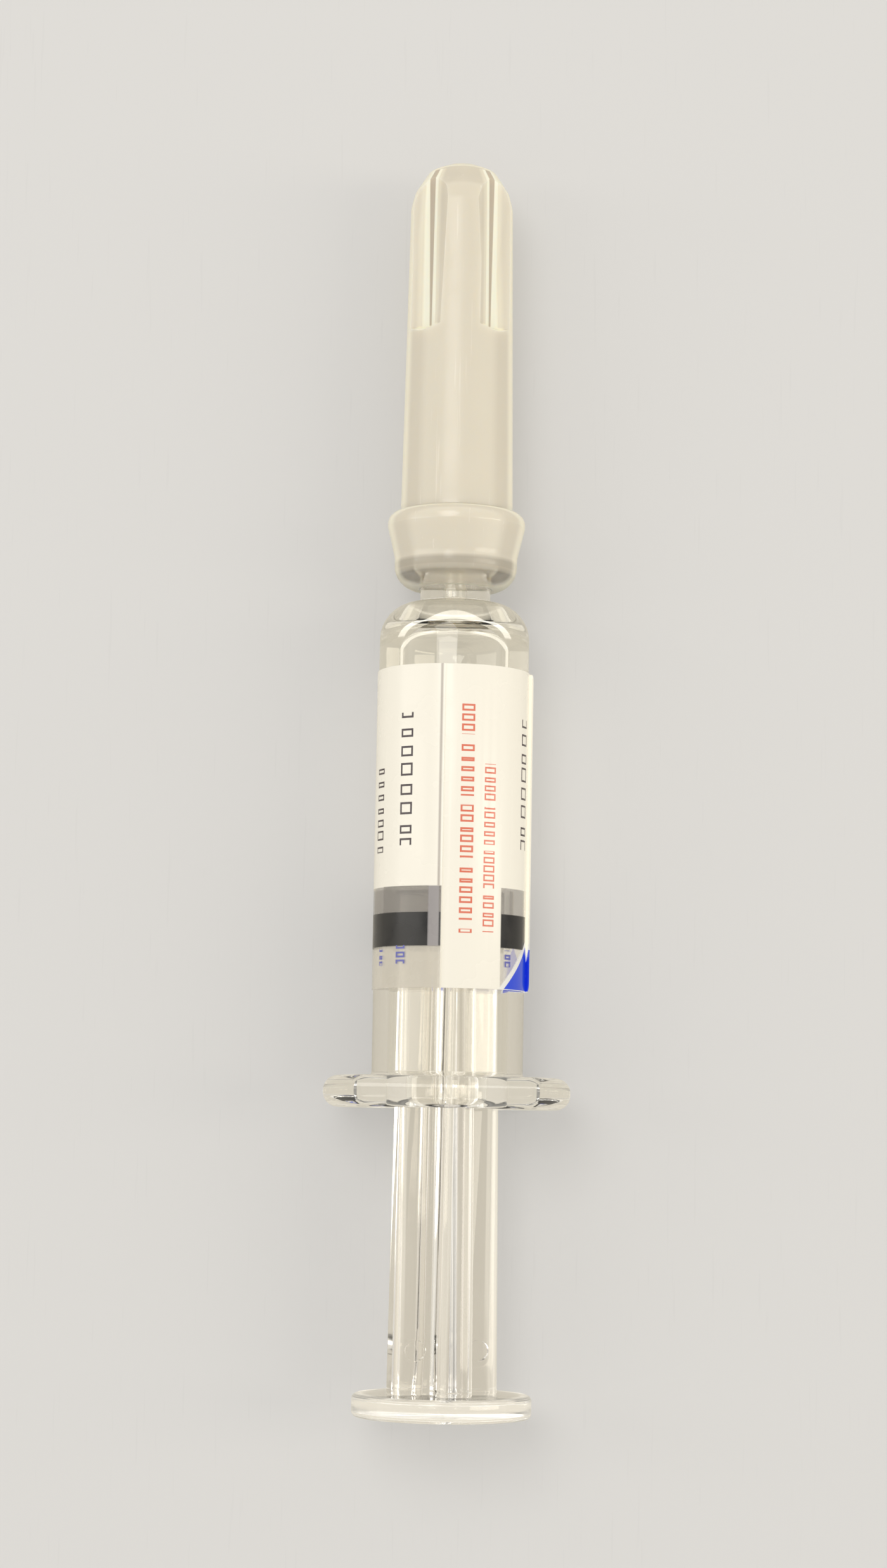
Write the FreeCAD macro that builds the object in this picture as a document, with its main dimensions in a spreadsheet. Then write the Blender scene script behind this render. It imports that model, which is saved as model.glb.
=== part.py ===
"""Prefilled glass syringe with a staked needle, a fluted needle shield and a cross-ribbed plunger rod.

It lies on its side: the axis runs along Y with the needle towards +Y, the flange is widest along X, and
the rim of the thumb disc is the lowest point. All sizes are in millimetres.
"""
import FreeCAD, Part
import math
import os

import Sketcher

os.makedirs("parts", exist_ok=True)
doc = FreeCAD.newDocument("PrefilledSyringe")
NEAR = 0.01

# Driving dimensions
SIZES = [
    ("barrel_diameter", 10.85, "outside of the glass barrel"),
    ("bore_diameter", 8.65, "inside of the glass barrel"),
    ("bore_mouth_round", 0.7, "rounding of the bore's open end"),
    ("bore_shoulder_start", 33.3, "flange to the end of the full bore"),
    ("bore_shoulder_round", 1.3, "rounding at the end of the full bore"),
    ("shoulder_start", 33.9, "flange to the end of the full barrel"),
    ("flange_span", 17.75, "finger flange across its round ends"),
    ("flange_flats", 12.0, "finger flange across its flats"),
    ("flange_web", 1.85, "thickness of the flange near the barrel"),
    ("flange_rim", 2.25, "thickness of the flange at its rim"),
    ("flange_dish_diameter", 15.2, "hollow faces of the flange"),
    ("flange_corner_round", 1.4, "corners between the flats and the rim"),
    ("flange_edge_round", 1.05, "rounding of the rim"),
    ("flange_root_round", 0.5, "fillet between flange and barrel"),
    ("tip_root_diameter", 5.1, "glass tip where it leaves the shoulder"),
    ("tip_root_round", 0.225, "fillet between shoulder and glass tip"),
    ("tip_neck_diameter", 4.4, "undercut behind the bulb"),
    ("tip_neck_height", 2.3, "shoulder to the undercut"),
    ("tip_bulb_diameter", 5.0, "bulb that holds the needle shield"),
    ("tip_bulb_height", 4.2, "shoulder to the bulb"),
    ("tip_bulb_band", 1.4, "length of the bulb"),
    ("tip_face_diameter", 4.1, "end of the glass tip"),
    ("tip_face_round", 0.4, "rounding of the glass tip's end"),
    ("tip_length", 9.6, "shoulder to the end of the glass tip"),
    ("channel_diameter", 1.1, "channel from the bore into the tip"),
    ("channel_start", 36.2, "flange to the start of the channel"),
    ("channel_length", 3.1, "length of the channel"),
    ("funnel_diameter", 1.6, "funnel for the adhesive at the tip's end"),
    ("funnel_depth", 0.8, "depth of that funnel"),
    ("needle_diameter", 0.5, "outside of the steel needle"),
    ("needle_bore", 0.26, "inside of the steel needle"),
    ("needle_exposed", 16.0, "needle outside the glass"),
    ("needle_buried", 6.4, "needle inside the glass tip"),
    ("needle_bevel_angle", 15.0, "slope of the point, in degrees"),
    ("needle_grind_width", 1.0, "width of the cut that makes the point"),
    ("needle_side_grind", 1.6, "length of the two side cuts at the point"),
    ("needle_point_width", 0.06, "width left at the very point"),
    ("adhesive_film", 0.04, "adhesive between needle and glass"),
    ("adhesive_rise", 0.25, "adhesive standing above the tip's end"),
    ("adhesive_collar", 0.12, "adhesive climbing the needle"),
    ("shield_length", 31.63, "whole length of the needle shield"),
    ("shield_rim_gap", 0.8, "shoulder's root to the shield's rim"),
    ("shield_rim_diameter", 8.92, "straight skirt at the rim"),
    ("shield_rim_round", 1.7, "rounding of the rim"),
    ("shield_skirt_height", 2.35, "rim to the end of the straight skirt"),
    ("shield_ridge_diameter", 10.0, "widest ring of the collar"),
    ("shield_ridge_start", 4.55, "rim to the start of that ring"),
    ("shield_ridge_end", 4.8, "rim to the end of that ring"),
    ("shield_ridge_round", 0.85, "rounding above the ring"),
    ("shield_body_diameter", 8.16, "sleeve where it leaves the collar"),
    ("shield_tip_diameter", 7.48, "sleeve where the dome starts"),
    ("shield_dome_length", 3.23, "length of the dome"),
    ("shield_cone_diameter", 6.9, "dome's cone, lower end"),
    ("shield_cone_length", 2.13, "length of the dome's cone and crown"),
    ("shield_crown_diameter", 4.9, "dome's cone, upper end"),
    ("shield_crown_length", 0.68, "length of the dome's crown"),
    ("shield_flat_diameter", 2.2, "flat on top of the dome"),
    ("shield_shoulder_arc", 3.0, "radius between sleeve and dome"),
    ("shield_crown_arc", 1.6, "radius between dome and flat"),
    ("shield_lip_clearance", 0.05, "lip to the glass tip's root"),
    ("shield_lip_height", 1.0, "length of the lip"),
    ("shield_groove_depth", 0.5, "ring groove behind the lip"),
    ("shield_groove_width", 1.6, "width of the ring groove"),
    ("shield_seat_clearance", 0.03, "seat to the glass bulb"),
    ("shield_seat_spare", 0.75, "seat beyond the glass bulb"),
    ("shield_pocket_spare", 0.55, "pocket beyond the end of the glass tip"),
    ("shield_pocket_clearance", 0.1, "pocket to the end of the glass tip"),
    ("shield_tunnel_diameter", 1.9, "tunnel round the needle at the tip"),
    ("shield_tunnel_end_diameter", 1.7, "tunnel round the needle at its end"),
    ("shield_socket_grip", 1.85, "needle's point in the close hole"),
    ("shield_socket_clearance", 0.05, "close hole round the needle's point"),
    ("shield_socket_spare", 1.05, "close hole beyond the needle's point"),
    ("flute_count", 4, "flutes round the sleeve"),
    ("flute_floor_diameter", 6.06, "across two opposite flute floors"),
    ("flute_floor_width_top", 0.42, "flute floor at the dome"),
    ("flute_floor_width_end", 0.14, "flute floor at its lower end"),
    ("flute_width_top", 4.5, "flute across its walls at the dome"),
    ("flute_width_end", 3.75, "flute across its walls at the lower end"),
    ("flute_wall_angle_top", 5.0, "slope of the flute walls at the dome, in degrees"),
    ("flute_wall_angle_end", 19.5, "slope of the flute walls at the lower end, in degrees"),
    ("flute_end", 19.05, "rim to the lower end of the flutes"),
    ("flute_runout", 0.5, "length over which the flutes run out"),
    ("stopper_depth", 16.4, "flange to the stopper's rear face"),
    ("stopper_length", 7.6, "whole length of the stopper"),
    ("stopper_nose_start", 6.3, "rear face to the start of the nose"),
    ("stopper_nose_diameter", 1.6, "flat on the nose"),
    ("stopper_core_diameter", 8.0, "stopper between its sealing ribs"),
    ("stopper_bore_clearance", 0.015, "sealing rib to the glass bore"),
    ("stopper_rib_count", 2, "sealing ribs behind the nose"),
    ("stopper_rib_pitch", 2.3, "from one sealing rib to the next"),
    ("stopper_rib_width", 0.8, "width of a sealing rib"),
    ("stopper_rib_slope", 0.25, "length of a rib's flank"),
    ("stopper_hole_clearance", 0.05, "threaded hole to the rod's stud"),
    ("stopper_hole_spare", 0.4, "threaded hole beyond the stud's end"),
    ("rod_exposed", 20.2, "thumb disc to the flange"),
    ("rod_width", 7.1, "plunger rod across opposite ribs"),
    ("rod_rib_thickness", 1.75, "thickness of a rib"),
    ("rod_rib_edge_round", 0.35, "long outer edges of the ribs"),
    ("rod_rib_root_round", 0.45, "fillet where the ribs meet"),
    ("rod_foot_round", 0.3, "fillet between the ribs and the thumb disc"),
    ("rod_roll", 17.0, "turn of the rod in the barrel, in degrees"),
    ("rod_head_diameter", 7.9, "disc that pushes the stopper"),
    ("rod_head_thickness", 1.2, "thickness of that disc"),
    ("rod_head_round", 0.25, "edges of that disc"),
    ("rod_stud_diameter", 3.2, "stud screwed into the stopper"),
    ("rod_stud_length", 4.6, "length of the stud"),
    ("rod_stud_chamfer", 0.4, "chamfer on the stud's end"),
    ("thumb_disc_diameter", 12.8, "thumb disc"),
    ("thumb_disc_thickness", 1.65, "thickness of the thumb disc"),
    ("thumb_disc_round", 0.4, "edges of the thumb disc"),
    ("ejector_mark_diameter", 1.5, "round marks left by the mould's pins"),
    ("ejector_mark_depth", 0.1, "depth of these marks"),
    ("ejector_mark_height", 3.1, "thumb disc to these marks"),
    ("label_start", 8.4, "flange to the label"),
    ("label_length", 23.05, "length of the label along the barrel"),
    ("label_film", 0.08, "thickness of the label's film"),
    ("label_gap", 0.02, "adhesive between barrel and film"),
    ("label_lap_start", -6.0, "free edge of the lap, in degrees from the top"),
    ("label_lap_end", 46.0, "far side of the lap, in degrees from the top"),
    ("label_tab_root", 100.0, "where the tear-off tab lifts, in degrees from the top"),
    ("label_tab_length", 1.9, "height of the lifted tab"),
    ("label_tab_root_depth", 0.32, "tab below the place where it lifts"),
    ("label_tab_corner", 0.7, "rounded corners of the tab"),
    ("liquid_level", 2.2, "liquid's surface above the axis"),
    ("bubble_width", 7.5, "outline of the air bubble from above, wider than its surface"),
    ("bubble_nose_round", 2.7, "corners of the bubble's front end"),
    ("bubble_end_gap", 0.15, "liquid between the bubble and the end of the bore"),
    ("liquid_film", 0.02, "liquid to the faces round it"),
]
sheet = doc.addObject("Spreadsheet::Sheet", "Sizes")
for row, (alias, value, meaning) in enumerate(SIZES, start=1):
    sheet.set(f"A{row}", meaning)
    sheet.set(f"B{row}", str(value))
    sheet.setAlias(f"B{row}", alias)
doc.recompute()


def size(text):
    """Returns the value of an expression in the sheet's sizes."""
    return float(sheet.evalExpression(text))


def radius(alias):
    """Returns the expression of half a diameter or width."""
    return f"Sizes.{alias} / 2"


# Heights above the flange's rear face that several pieces share
TIP_ROOT_REACH = "(Sizes.tip_root_diameter / 2 + Sizes.tip_root_round)"
SHOULDER_ROUND = f"(Sizes.barrel_diameter / 2 - {TIP_ROOT_REACH})"
SHOULDER_TOP = f"(Sizes.shoulder_start + {SHOULDER_ROUND})"
SHIELD_LIFT = "(Sizes.tip_root_round + Sizes.shield_rim_gap)"
SHIELD_RIM = f"({SHOULDER_TOP} + {SHIELD_LIFT})"
TIP_END = f"({SHOULDER_TOP} + Sizes.tip_length)"
STOPPER_FRONT = "(Sizes.stopper_depth + Sizes.stopper_length)"
ROD_LENGTH = "(Sizes.rod_exposed + Sizes.stopper_depth)"

# Places along the syringe, with the origin halfway between its two ends
OVERALL = f"(Sizes.thumb_disc_thickness + Sizes.rod_exposed + {SHIELD_RIM} + Sizes.shield_length)"
THUMB_END = f"(-{OVERALL} / 2)"
FLANGE_PLACE = f"({THUMB_END} + Sizes.thumb_disc_thickness + Sizes.rod_exposed)"
AXIS_HEIGHT = radius("thumb_disc_diameter")


def new_body(label, along, roll="0"):
    """Makes a body whose own Z runs along the syringe towards the needle.

    along: expression of its origin's place along Y. roll: expression of its turn about the axis.
    """
    body = doc.addObject("PartDesign::Body", label)
    body.Label = label
    lying = FreeCAD.Rotation(FreeCAD.Vector(1, 0, 0), -90)
    turned = FreeCAD.Rotation(FreeCAD.Vector(0, 0, 1), size(roll))
    body.Placement = FreeCAD.Placement(FreeCAD.Vector(0, 0, 0), lying * turned)
    body.setExpression(".Placement.Base.y", along)
    body.setExpression(".Placement.Base.z", AXIS_HEIGHT)
    return body


def new_sketch(body, name, plane="XY_Plane", offset="0", turn="0"):
    """Makes a sketch on one of the body's own planes, raised by offset and turned about its normal."""
    sketch = body.newObject("Sketcher::SketchObject", name)
    face = [item for item in body.Origin.OriginFeatures if item.Role == plane][0]
    sketch.AttachmentSupport = (face, [""])
    sketch.MapMode = "FlatFace"
    spin = FreeCAD.Rotation(FreeCAD.Vector(0, 0, 1), size(turn))
    sketch.AttachmentOffset = FreeCAD.Placement(FreeCAD.Vector(0, 0, size(offset)), spin)
    if offset != "0":
        sketch.setExpression(".AttachmentOffset.Base.z", offset)
    return sketch


def bind(sketch, constraint, name, text):
    """Adds a named constraint and ties its value to an expression."""
    index = sketch.addConstraint(constraint)
    sketch.renameConstraint(index, name)
    sketch.setExpression(f"Constraints.{name}", text)


def round_edge(start, end, bend, side, large):
    """Returns the arc from start to end and whether it runs counter-clockwise.

    side is left or right: where the arc bulges, seen along the way from start to end.
    """
    chord = end - start
    left = FreeCAD.Vector(-chord.y, chord.x, 0).normalize()
    outward = left if side == "left" else -left
    rise = math.sqrt(max(bend**2 - (chord.Length / 2) ** 2, 0.0))
    centre = (start + end) / 2 + outward * (rise if large else -rise)
    first = math.atan2(start.y - centre.y, start.x - centre.x)
    last = math.atan2(end.y - centre.y, end.x - centre.x)
    circle = Part.Circle(centre, FreeCAD.Vector(0, 0, 1), bend)
    if side == "right":
        return Part.ArcOfCircle(circle, first, last), True
    return Part.ArcOfCircle(circle, last, first), False


def draw_outline(sketch, corners):
    """Draws a closed outline and ties each corner to its expressions.

    Each corner is (across, up), or (across, up, radius, side) where an arc leads to the next corner,
    with a fifth item, large, where it is the longer of the two arcs.
    """
    spots = [FreeCAD.Vector(size(corner[0]), size(corner[1]), 0) for corner in corners]
    starts = []
    ends = []
    for number, corner in enumerate(corners):
        here = spots[number]
        there = spots[(number + 1) % len(spots)]
        if len(corner) == 2:
            line = sketch.addGeometry(Part.LineSegment(here, there), False)
            starts.append((line, 1))
            ends.append((line, 2))
            continue
        arc, forward = round_edge(here, there, size(corner[2]), corner[3], "large" in corner)
        curve = sketch.addGeometry(arc, False)
        starts.append((curve, 1 if forward else 2))
        ends.append((curve, 2 if forward else 1))
    for number, corner in enumerate(corners):
        follower = starts[(number + 1) % len(corners)]
        sketch.addConstraint(Sketcher.Constraint("Coincident", *ends[number], *follower))
    for number, corner in enumerate(corners):
        for kind, text, axis in (("DistanceX", corner[0], -2), ("DistanceY", corner[1], -1)):
            if text == "0":
                sketch.addConstraint(Sketcher.Constraint("PointOnObject", *starts[number], axis))
                continue
            distance = Sketcher.Constraint(kind, -1, 1, *starts[number], size(text))
            bind(sketch, distance, f"{kind}_{number}", text)
        if len(corner) > 2:
            bend = Sketcher.Constraint("Radius", starts[number][0], size(corner[2]))
            bind(sketch, bend, f"Radius_{number}", corner[2])


def draw_circle(sketch, name, across, up, text):
    """Draws a circle whose centre and radius are tied to expressions."""
    centre = FreeCAD.Vector(size(across), size(up), 0)
    circle = Part.Circle(centre, FreeCAD.Vector(0, 0, 1), size(text))
    curve = sketch.addGeometry(circle, False)
    bind(sketch, Sketcher.Constraint("Radius", curve, size(text)), f"{name}_radius", text)
    for kind, place, axis in (("DistanceX", across, -2), ("DistanceY", up, -1)):
        if place == "0":
            sketch.addConstraint(Sketcher.Constraint("PointOnObject", curve, 3, axis))
            continue
        distance = Sketcher.Constraint(kind, -1, 1, curve, 3, size(place))
        bind(sketch, distance, f"{name}_{kind}", place)


def rectangle(left, bottom, right, top):
    """Returns the four corners of a rectangle for draw_outline."""
    return [(left, bottom), (right, bottom), (right, top), (left, top)]


def turn_profile(body, name, corners):
    """Revolves an outline, drawn as radius and height, about the body's axis."""
    sketch = new_sketch(body, f"{name}_profile", "XZ_Plane")
    draw_outline(sketch, corners)
    turned = body.newObject("PartDesign::Revolution", name)
    turned.Profile = sketch
    turned.ReferenceAxis = (sketch, ["V_Axis"])
    turned.Angle = 360.0
    doc.recompute()
    return turned


def cut_groove(body, name, sketch):
    """Cuts a sketch, drawn as radius and height, all round the body's axis."""
    before = body.Shape.Volume
    groove = body.newObject("PartDesign::Groove", name)
    groove.Profile = sketch
    groove.ReferenceAxis = (sketch, ["V_Axis"])
    groove.Angle = 360.0
    doc.recompute()
    if body.Shape.Volume >= before:
        raise RuntimeError(f"{name} cuts nothing")
    return groove


def add_pad(body, name, sketch, length):
    """Pads a sketch by the length that an expression gives."""
    pad = body.newObject("PartDesign::Pad", name)
    pad.Profile = sketch
    pad.setExpression("Length", length)
    doc.recompute()
    return pad


def cut_pocket(body, name, sketch, length, backwards=False, both_ways=False):
    """Cuts a sketch into the body and checks that it has taken material away."""
    before = body.Shape.Volume
    pocket = body.newObject("PartDesign::Pocket", name)
    pocket.Profile = sketch
    pocket.Reversed = backwards
    pocket.Midplane = both_ways
    pocket.setExpression("Length", length)
    doc.recompute()
    if body.Shape.Volume >= before:
        raise RuntimeError(f"{name} cuts nothing")
    return pocket


def chosen_edges(body, wanted):
    """Returns the names of the tip feature's edges that the test accepts."""
    shape = body.Tip.Shape
    return [f"Edge{number}" for number, edge in enumerate(shape.Edges, start=1) if wanted(edge)]


def soften(body, name, kind, size_name, wanted, text):
    """Adds a fillet or chamfer along the chosen edges."""
    base = body.Tip
    edges = chosen_edges(body, wanted)
    if not edges:
        raise RuntimeError(f"{name} finds no edges")
    feature = body.newObject(kind, name)
    feature.Base = (base, edges)
    feature.setExpression(size_name, text)
    doc.recompute()
    return feature


def fillet(body, name, wanted, text):
    """Rounds the chosen edges with the radius that an expression gives."""
    return soften(body, name, "PartDesign::Fillet", "Radius", wanted, text)


def chamfer(body, name, wanted, text):
    """Chamfers the chosen edges with the size that an expression gives."""
    return soften(body, name, "PartDesign::Chamfer", "Size", wanted, text)


def runs_along_axis(edge):
    """Says whether an edge is straight and parallel to the body's axis."""
    if edge.Curve.TypeId != "Part::GeomLine":
        return False
    return abs(edge.tangentAt(edge.FirstParameter).z) > 0.999


def middle(edge):
    """Returns the middle of an edge."""
    return edge.valueAt((edge.FirstParameter + edge.LastParameter) / 2)


def is_ring(edge, reach, height):
    """Says whether an edge is a circle about the axis with this radius at this height."""
    if edge.Curve.TypeId != "Part::GeomCircle" or not edge.isClosed():
        return False
    same_reach = abs(edge.Curve.Radius - reach) < NEAR
    return same_reach and abs(edge.Curve.Center.z - height) < NEAR


# Glass barrel: one piece of formed tube with its cut finger flange, shoulder and bulbed tip
WEB_REAR = "((Sizes.flange_rim - Sizes.flange_web) / 2)"
WEB_FRONT = f"({WEB_REAR} + Sizes.flange_web)"
FLANGE_REACH = radius("flange_span")
FLAT_REACH = radius("flange_flats")
CORNER_ACROSS = (
    f"sqrt(pow({FLANGE_REACH} - Sizes.flange_corner_round; 2)"
    f" - pow({FLAT_REACH} - Sizes.flange_corner_round; 2))"
)
CORNER_GROWTH = f"{FLANGE_REACH} / ({FLANGE_REACH} - Sizes.flange_corner_round)"
RIM_ACROSS = f"({CORNER_ACROSS} * {CORNER_GROWTH})"
RIM_UP = f"(({FLAT_REACH} - Sizes.flange_corner_round) * {CORNER_GROWTH})"
CANNULA_HOLE = "(Sizes.needle_diameter / 2 + Sizes.adhesive_film)"
CHANNEL_END = f"({SHOULDER_TOP} + Sizes.channel_length)"
BORE_CONE = "(Sizes.bore_diameter / 2 - Sizes.bore_shoulder_round)"
BORE_CONE_HEIGHT = "(Sizes.bore_shoulder_start + Sizes.bore_shoulder_round)"

barrel = new_body("glass_barrel", FLANGE_PLACE)
plan = new_sketch(barrel, "Flange_plan")
draw_outline(plan, [
    (RIM_ACROSS, f"-{RIM_UP}", FLANGE_REACH, "right"),
    (RIM_ACROSS, RIM_UP, "Sizes.flange_corner_round", "right"),
    (CORNER_ACROSS, FLAT_REACH),
    (f"-{CORNER_ACROSS}", FLAT_REACH, "Sizes.flange_corner_round", "right"),
    (f"-{RIM_ACROSS}", RIM_UP, FLANGE_REACH, "right"),
    (f"-{RIM_ACROSS}", f"-{RIM_UP}", "Sizes.flange_corner_round", "right"),
    (f"-{CORNER_ACROSS}", f"-{FLAT_REACH}"),
    (CORNER_ACROSS, f"-{FLAT_REACH}", "Sizes.flange_corner_round", "right"),
])
add_pad(barrel, "Flange", plan, "Sizes.flange_rim")
fillet(barrel, "Flange_rim", lambda edge: not runs_along_axis(edge), "Sizes.flange_edge_round")
DISH_REACH = radius("flange_dish_diameter")
rear_dish = new_sketch(barrel, "Rear_dish_profile", "XZ_Plane")
draw_outline(rear_dish, [("0", "0"), (DISH_REACH, "0"), (radius("bore_diameter"), WEB_REAR), ("0", WEB_REAR)])
cut_groove(barrel, "Rear_dish", rear_dish)
front_dish = new_sketch(barrel, "Front_dish_profile", "XZ_Plane")
draw_outline(front_dish, [
    ("0", WEB_FRONT),
    (radius("bore_diameter"), WEB_FRONT),
    (DISH_REACH, "Sizes.flange_rim"),
    ("0", "Sizes.flange_rim"),
])
cut_groove(barrel, "Front_dish", front_dish)
turn_profile(barrel, "Tube", [
    ("0", WEB_REAR),
    ("Sizes.barrel_diameter / 2 + Sizes.flange_root_round", WEB_REAR),
    ("Sizes.barrel_diameter / 2 + Sizes.flange_root_round", WEB_FRONT, "Sizes.flange_root_round", "left"),
    (radius("barrel_diameter"), f"{WEB_FRONT} + Sizes.flange_root_round"),
    (radius("barrel_diameter"), "Sizes.shoulder_start", SHOULDER_ROUND, "right"),
    (TIP_ROOT_REACH, SHOULDER_TOP, "Sizes.tip_root_round", "left"),
    (radius("tip_root_diameter"), f"{SHOULDER_TOP} + Sizes.tip_root_round"),
    (radius("tip_root_diameter"), SHIELD_RIM),
    (radius("tip_neck_diameter"), f"{SHOULDER_TOP} + Sizes.tip_neck_height"),
    (radius("tip_bulb_diameter"), f"{SHOULDER_TOP} + Sizes.tip_bulb_height"),
    (radius("tip_bulb_diameter"), f"{SHOULDER_TOP} + Sizes.tip_bulb_height + Sizes.tip_bulb_band"),
    (radius("tip_face_diameter"), f"{TIP_END} - Sizes.tip_face_round", "Sizes.tip_face_round", "right"),
    ("Sizes.tip_face_diameter / 2 - Sizes.tip_face_round", TIP_END),
    ("0", TIP_END),
])
bore = new_sketch(barrel, "Bore_profile", "XZ_Plane")
draw_outline(bore, [
    ("0", "0"),
    ("Sizes.bore_diameter / 2 + Sizes.bore_mouth_round", "0"),
    ("Sizes.bore_diameter / 2 + Sizes.bore_mouth_round", WEB_REAR, "Sizes.bore_mouth_round", "left"),
    (radius("bore_diameter"), f"{WEB_REAR} + Sizes.bore_mouth_round"),
    (radius("bore_diameter"), "Sizes.bore_shoulder_start", "Sizes.bore_shoulder_round", "right"),
    (BORE_CONE, BORE_CONE_HEIGHT),
    (radius("channel_diameter"), "Sizes.channel_start"),
    (radius("channel_diameter"), f"{CHANNEL_END} - Sizes.channel_diameter / 2 + {CANNULA_HOLE}"),
    (CANNULA_HOLE, CHANNEL_END),
    (CANNULA_HOLE, f"{TIP_END} - Sizes.funnel_depth"),
    (radius("funnel_diameter"), TIP_END),
    ("0", TIP_END),
])
cut_groove(barrel, "Bore", bore)


# Needle: a steel tube with a slanted point, glued into the glass tip
NEEDLE_LENGTH = "(Sizes.needle_buried + Sizes.needle_exposed)"
POINT_LENGTH = "(Sizes.needle_diameter / tan(Sizes.needle_bevel_angle * 1deg))"

needle = new_body("needle", f"{FLANGE_PLACE} + {TIP_END} - Sizes.needle_buried")
tube = new_sketch(needle, "Tube_section")
draw_circle(tube, "Outside", "0", "0", radius("needle_diameter"))
draw_circle(tube, "Inside", "0", "0", radius("needle_bore"))
add_pad(needle, "Tube", tube, NEEDLE_LENGTH)
bevel = new_sketch(needle, "Bevel_outline", "YZ_Plane")
draw_outline(bevel, [
    ("-Sizes.needle_diameter / 2", f"{NEEDLE_LENGTH} - {POINT_LENGTH}"),
    ("Sizes.needle_diameter / 2", NEEDLE_LENGTH),
    ("-Sizes.needle_diameter / 2", NEEDLE_LENGTH),
])
cut_pocket(needle, "Bevel", bevel, "Sizes.needle_grind_width", both_ways=True)
for name, side in (("Left_grind", "-1"), ("Right_grind", "1")):
    grind = new_sketch(needle, f"{name}_outline", "XZ_Plane")
    draw_outline(grind, [
        (f"{side} * Sizes.needle_grind_width / 2", f"{NEEDLE_LENGTH} - Sizes.needle_side_grind"),
        (f"{side} * Sizes.needle_grind_width / 2", NEEDLE_LENGTH),
        (f"{side} * Sizes.needle_point_width / 2", NEEDLE_LENGTH),
    ])
    cut_pocket(needle, name, grind, "Sizes.needle_grind_width", both_ways=True)


# Adhesive: a sleeve between needle and glass that ends in a small raised bead
adhesive = new_body("needle_adhesive", f"{FLANGE_PLACE} + {TIP_END} - Sizes.needle_buried")
turn_profile(adhesive, "Adhesive", [
    (radius("needle_diameter"), "Sizes.adhesive_rise"),
    (CANNULA_HOLE, "Sizes.adhesive_rise"),
    (CANNULA_HOLE, "Sizes.needle_buried - Sizes.funnel_depth"),
    (radius("funnel_diameter"), "Sizes.needle_buried"),
    ("Sizes.needle_diameter / 2 + Sizes.adhesive_collar", "Sizes.needle_buried + Sizes.adhesive_rise"),
    (radius("needle_diameter"), "Sizes.needle_buried + Sizes.adhesive_rise + Sizes.adhesive_collar"),
])


# Needle shield: one soft moulding with a collar, a fluted sleeve and a blunt dome
LIP = "(Sizes.tip_root_diameter / 2 + Sizes.shield_lip_clearance)"
GROOVE = f"({LIP} + Sizes.shield_groove_depth)"
GROOVE_END = "(Sizes.shield_lip_height + Sizes.shield_groove_width)"
SEAT = "(Sizes.tip_bulb_diameter / 2 + Sizes.shield_seat_clearance)"
POCKET = "(Sizes.tip_face_diameter / 2 + Sizes.shield_pocket_clearance)"
SOCKET = "(Sizes.needle_diameter / 2 + Sizes.shield_socket_clearance)"
BULB_REACH = f"(Sizes.tip_bulb_height + Sizes.tip_bulb_band - {SHIELD_LIFT})"
TIP_REACH = f"(Sizes.tip_length - {SHIELD_LIFT})"
NEEDLE_REACH = f"({TIP_REACH} + Sizes.needle_exposed)"
SEAT_END = f"({BULB_REACH} + Sizes.shield_seat_spare)"
POCKET_END = f"({TIP_REACH} + Sizes.shield_pocket_spare)"
TUNNEL_END = f"({NEEDLE_REACH} - Sizes.shield_socket_grip)"
SOCKET_END = f"({NEEDLE_REACH} + Sizes.shield_socket_spare)"

shield = new_body("needle_shield", f"{FLANGE_PLACE} + {SHIELD_RIM}")
turn_profile(shield, "Shield", [
    (LIP, "0"),
    ("Sizes.shield_rim_diameter / 2 - Sizes.shield_rim_round", "0", "Sizes.shield_rim_round", "right"),
    (radius("shield_rim_diameter"), "Sizes.shield_rim_round"),
    (radius("shield_rim_diameter"), "Sizes.shield_skirt_height"),
    (radius("shield_ridge_diameter"), "Sizes.shield_ridge_start"),
    (radius("shield_ridge_diameter"), "Sizes.shield_ridge_end", "Sizes.shield_ridge_round", "right"),
    ("Sizes.shield_ridge_diameter / 2 - Sizes.shield_ridge_round",
     "Sizes.shield_ridge_end + Sizes.shield_ridge_round"),
    (radius("shield_body_diameter"), "Sizes.shield_ridge_end + Sizes.shield_ridge_round"),
    (radius("shield_tip_diameter"), "Sizes.shield_length - Sizes.shield_dome_length",
     "Sizes.shield_shoulder_arc", "right"),
    (radius("shield_cone_diameter"), "Sizes.shield_length - Sizes.shield_cone_length"),
    (radius("shield_crown_diameter"), "Sizes.shield_length - Sizes.shield_crown_length",
     "Sizes.shield_crown_arc", "right"),
    (radius("shield_flat_diameter"), "Sizes.shield_length"),
    ("0", "Sizes.shield_length"),
    ("0", SOCKET_END),
    (SOCKET, SOCKET_END),
    (SOCKET, f"{TUNNEL_END} + Sizes.shield_tunnel_end_diameter / 2 - {SOCKET}"),
    (radius("shield_tunnel_end_diameter"), TUNNEL_END),
    (radius("shield_tunnel_diameter"), f"{POCKET_END} + {POCKET} - Sizes.shield_tunnel_diameter / 2"),
    (POCKET, POCKET_END),
    (SEAT, SEAT_END),
    (SEAT, f"{GROOVE_END} + {GROOVE} - {SEAT}"),
    (GROOVE, GROOVE_END),
    (GROOVE, f"Sizes.shield_lip_height + {GROOVE} - {LIP}"),
    (LIP, "Sizes.shield_lip_height"),
])

FLUTE_FLOOR = radius("flute_floor_diameter")
FLUTE_OUTER = radius("shield_ridge_diameter")
FLUTE_TURN = "180 / Sizes.flute_count"


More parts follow.
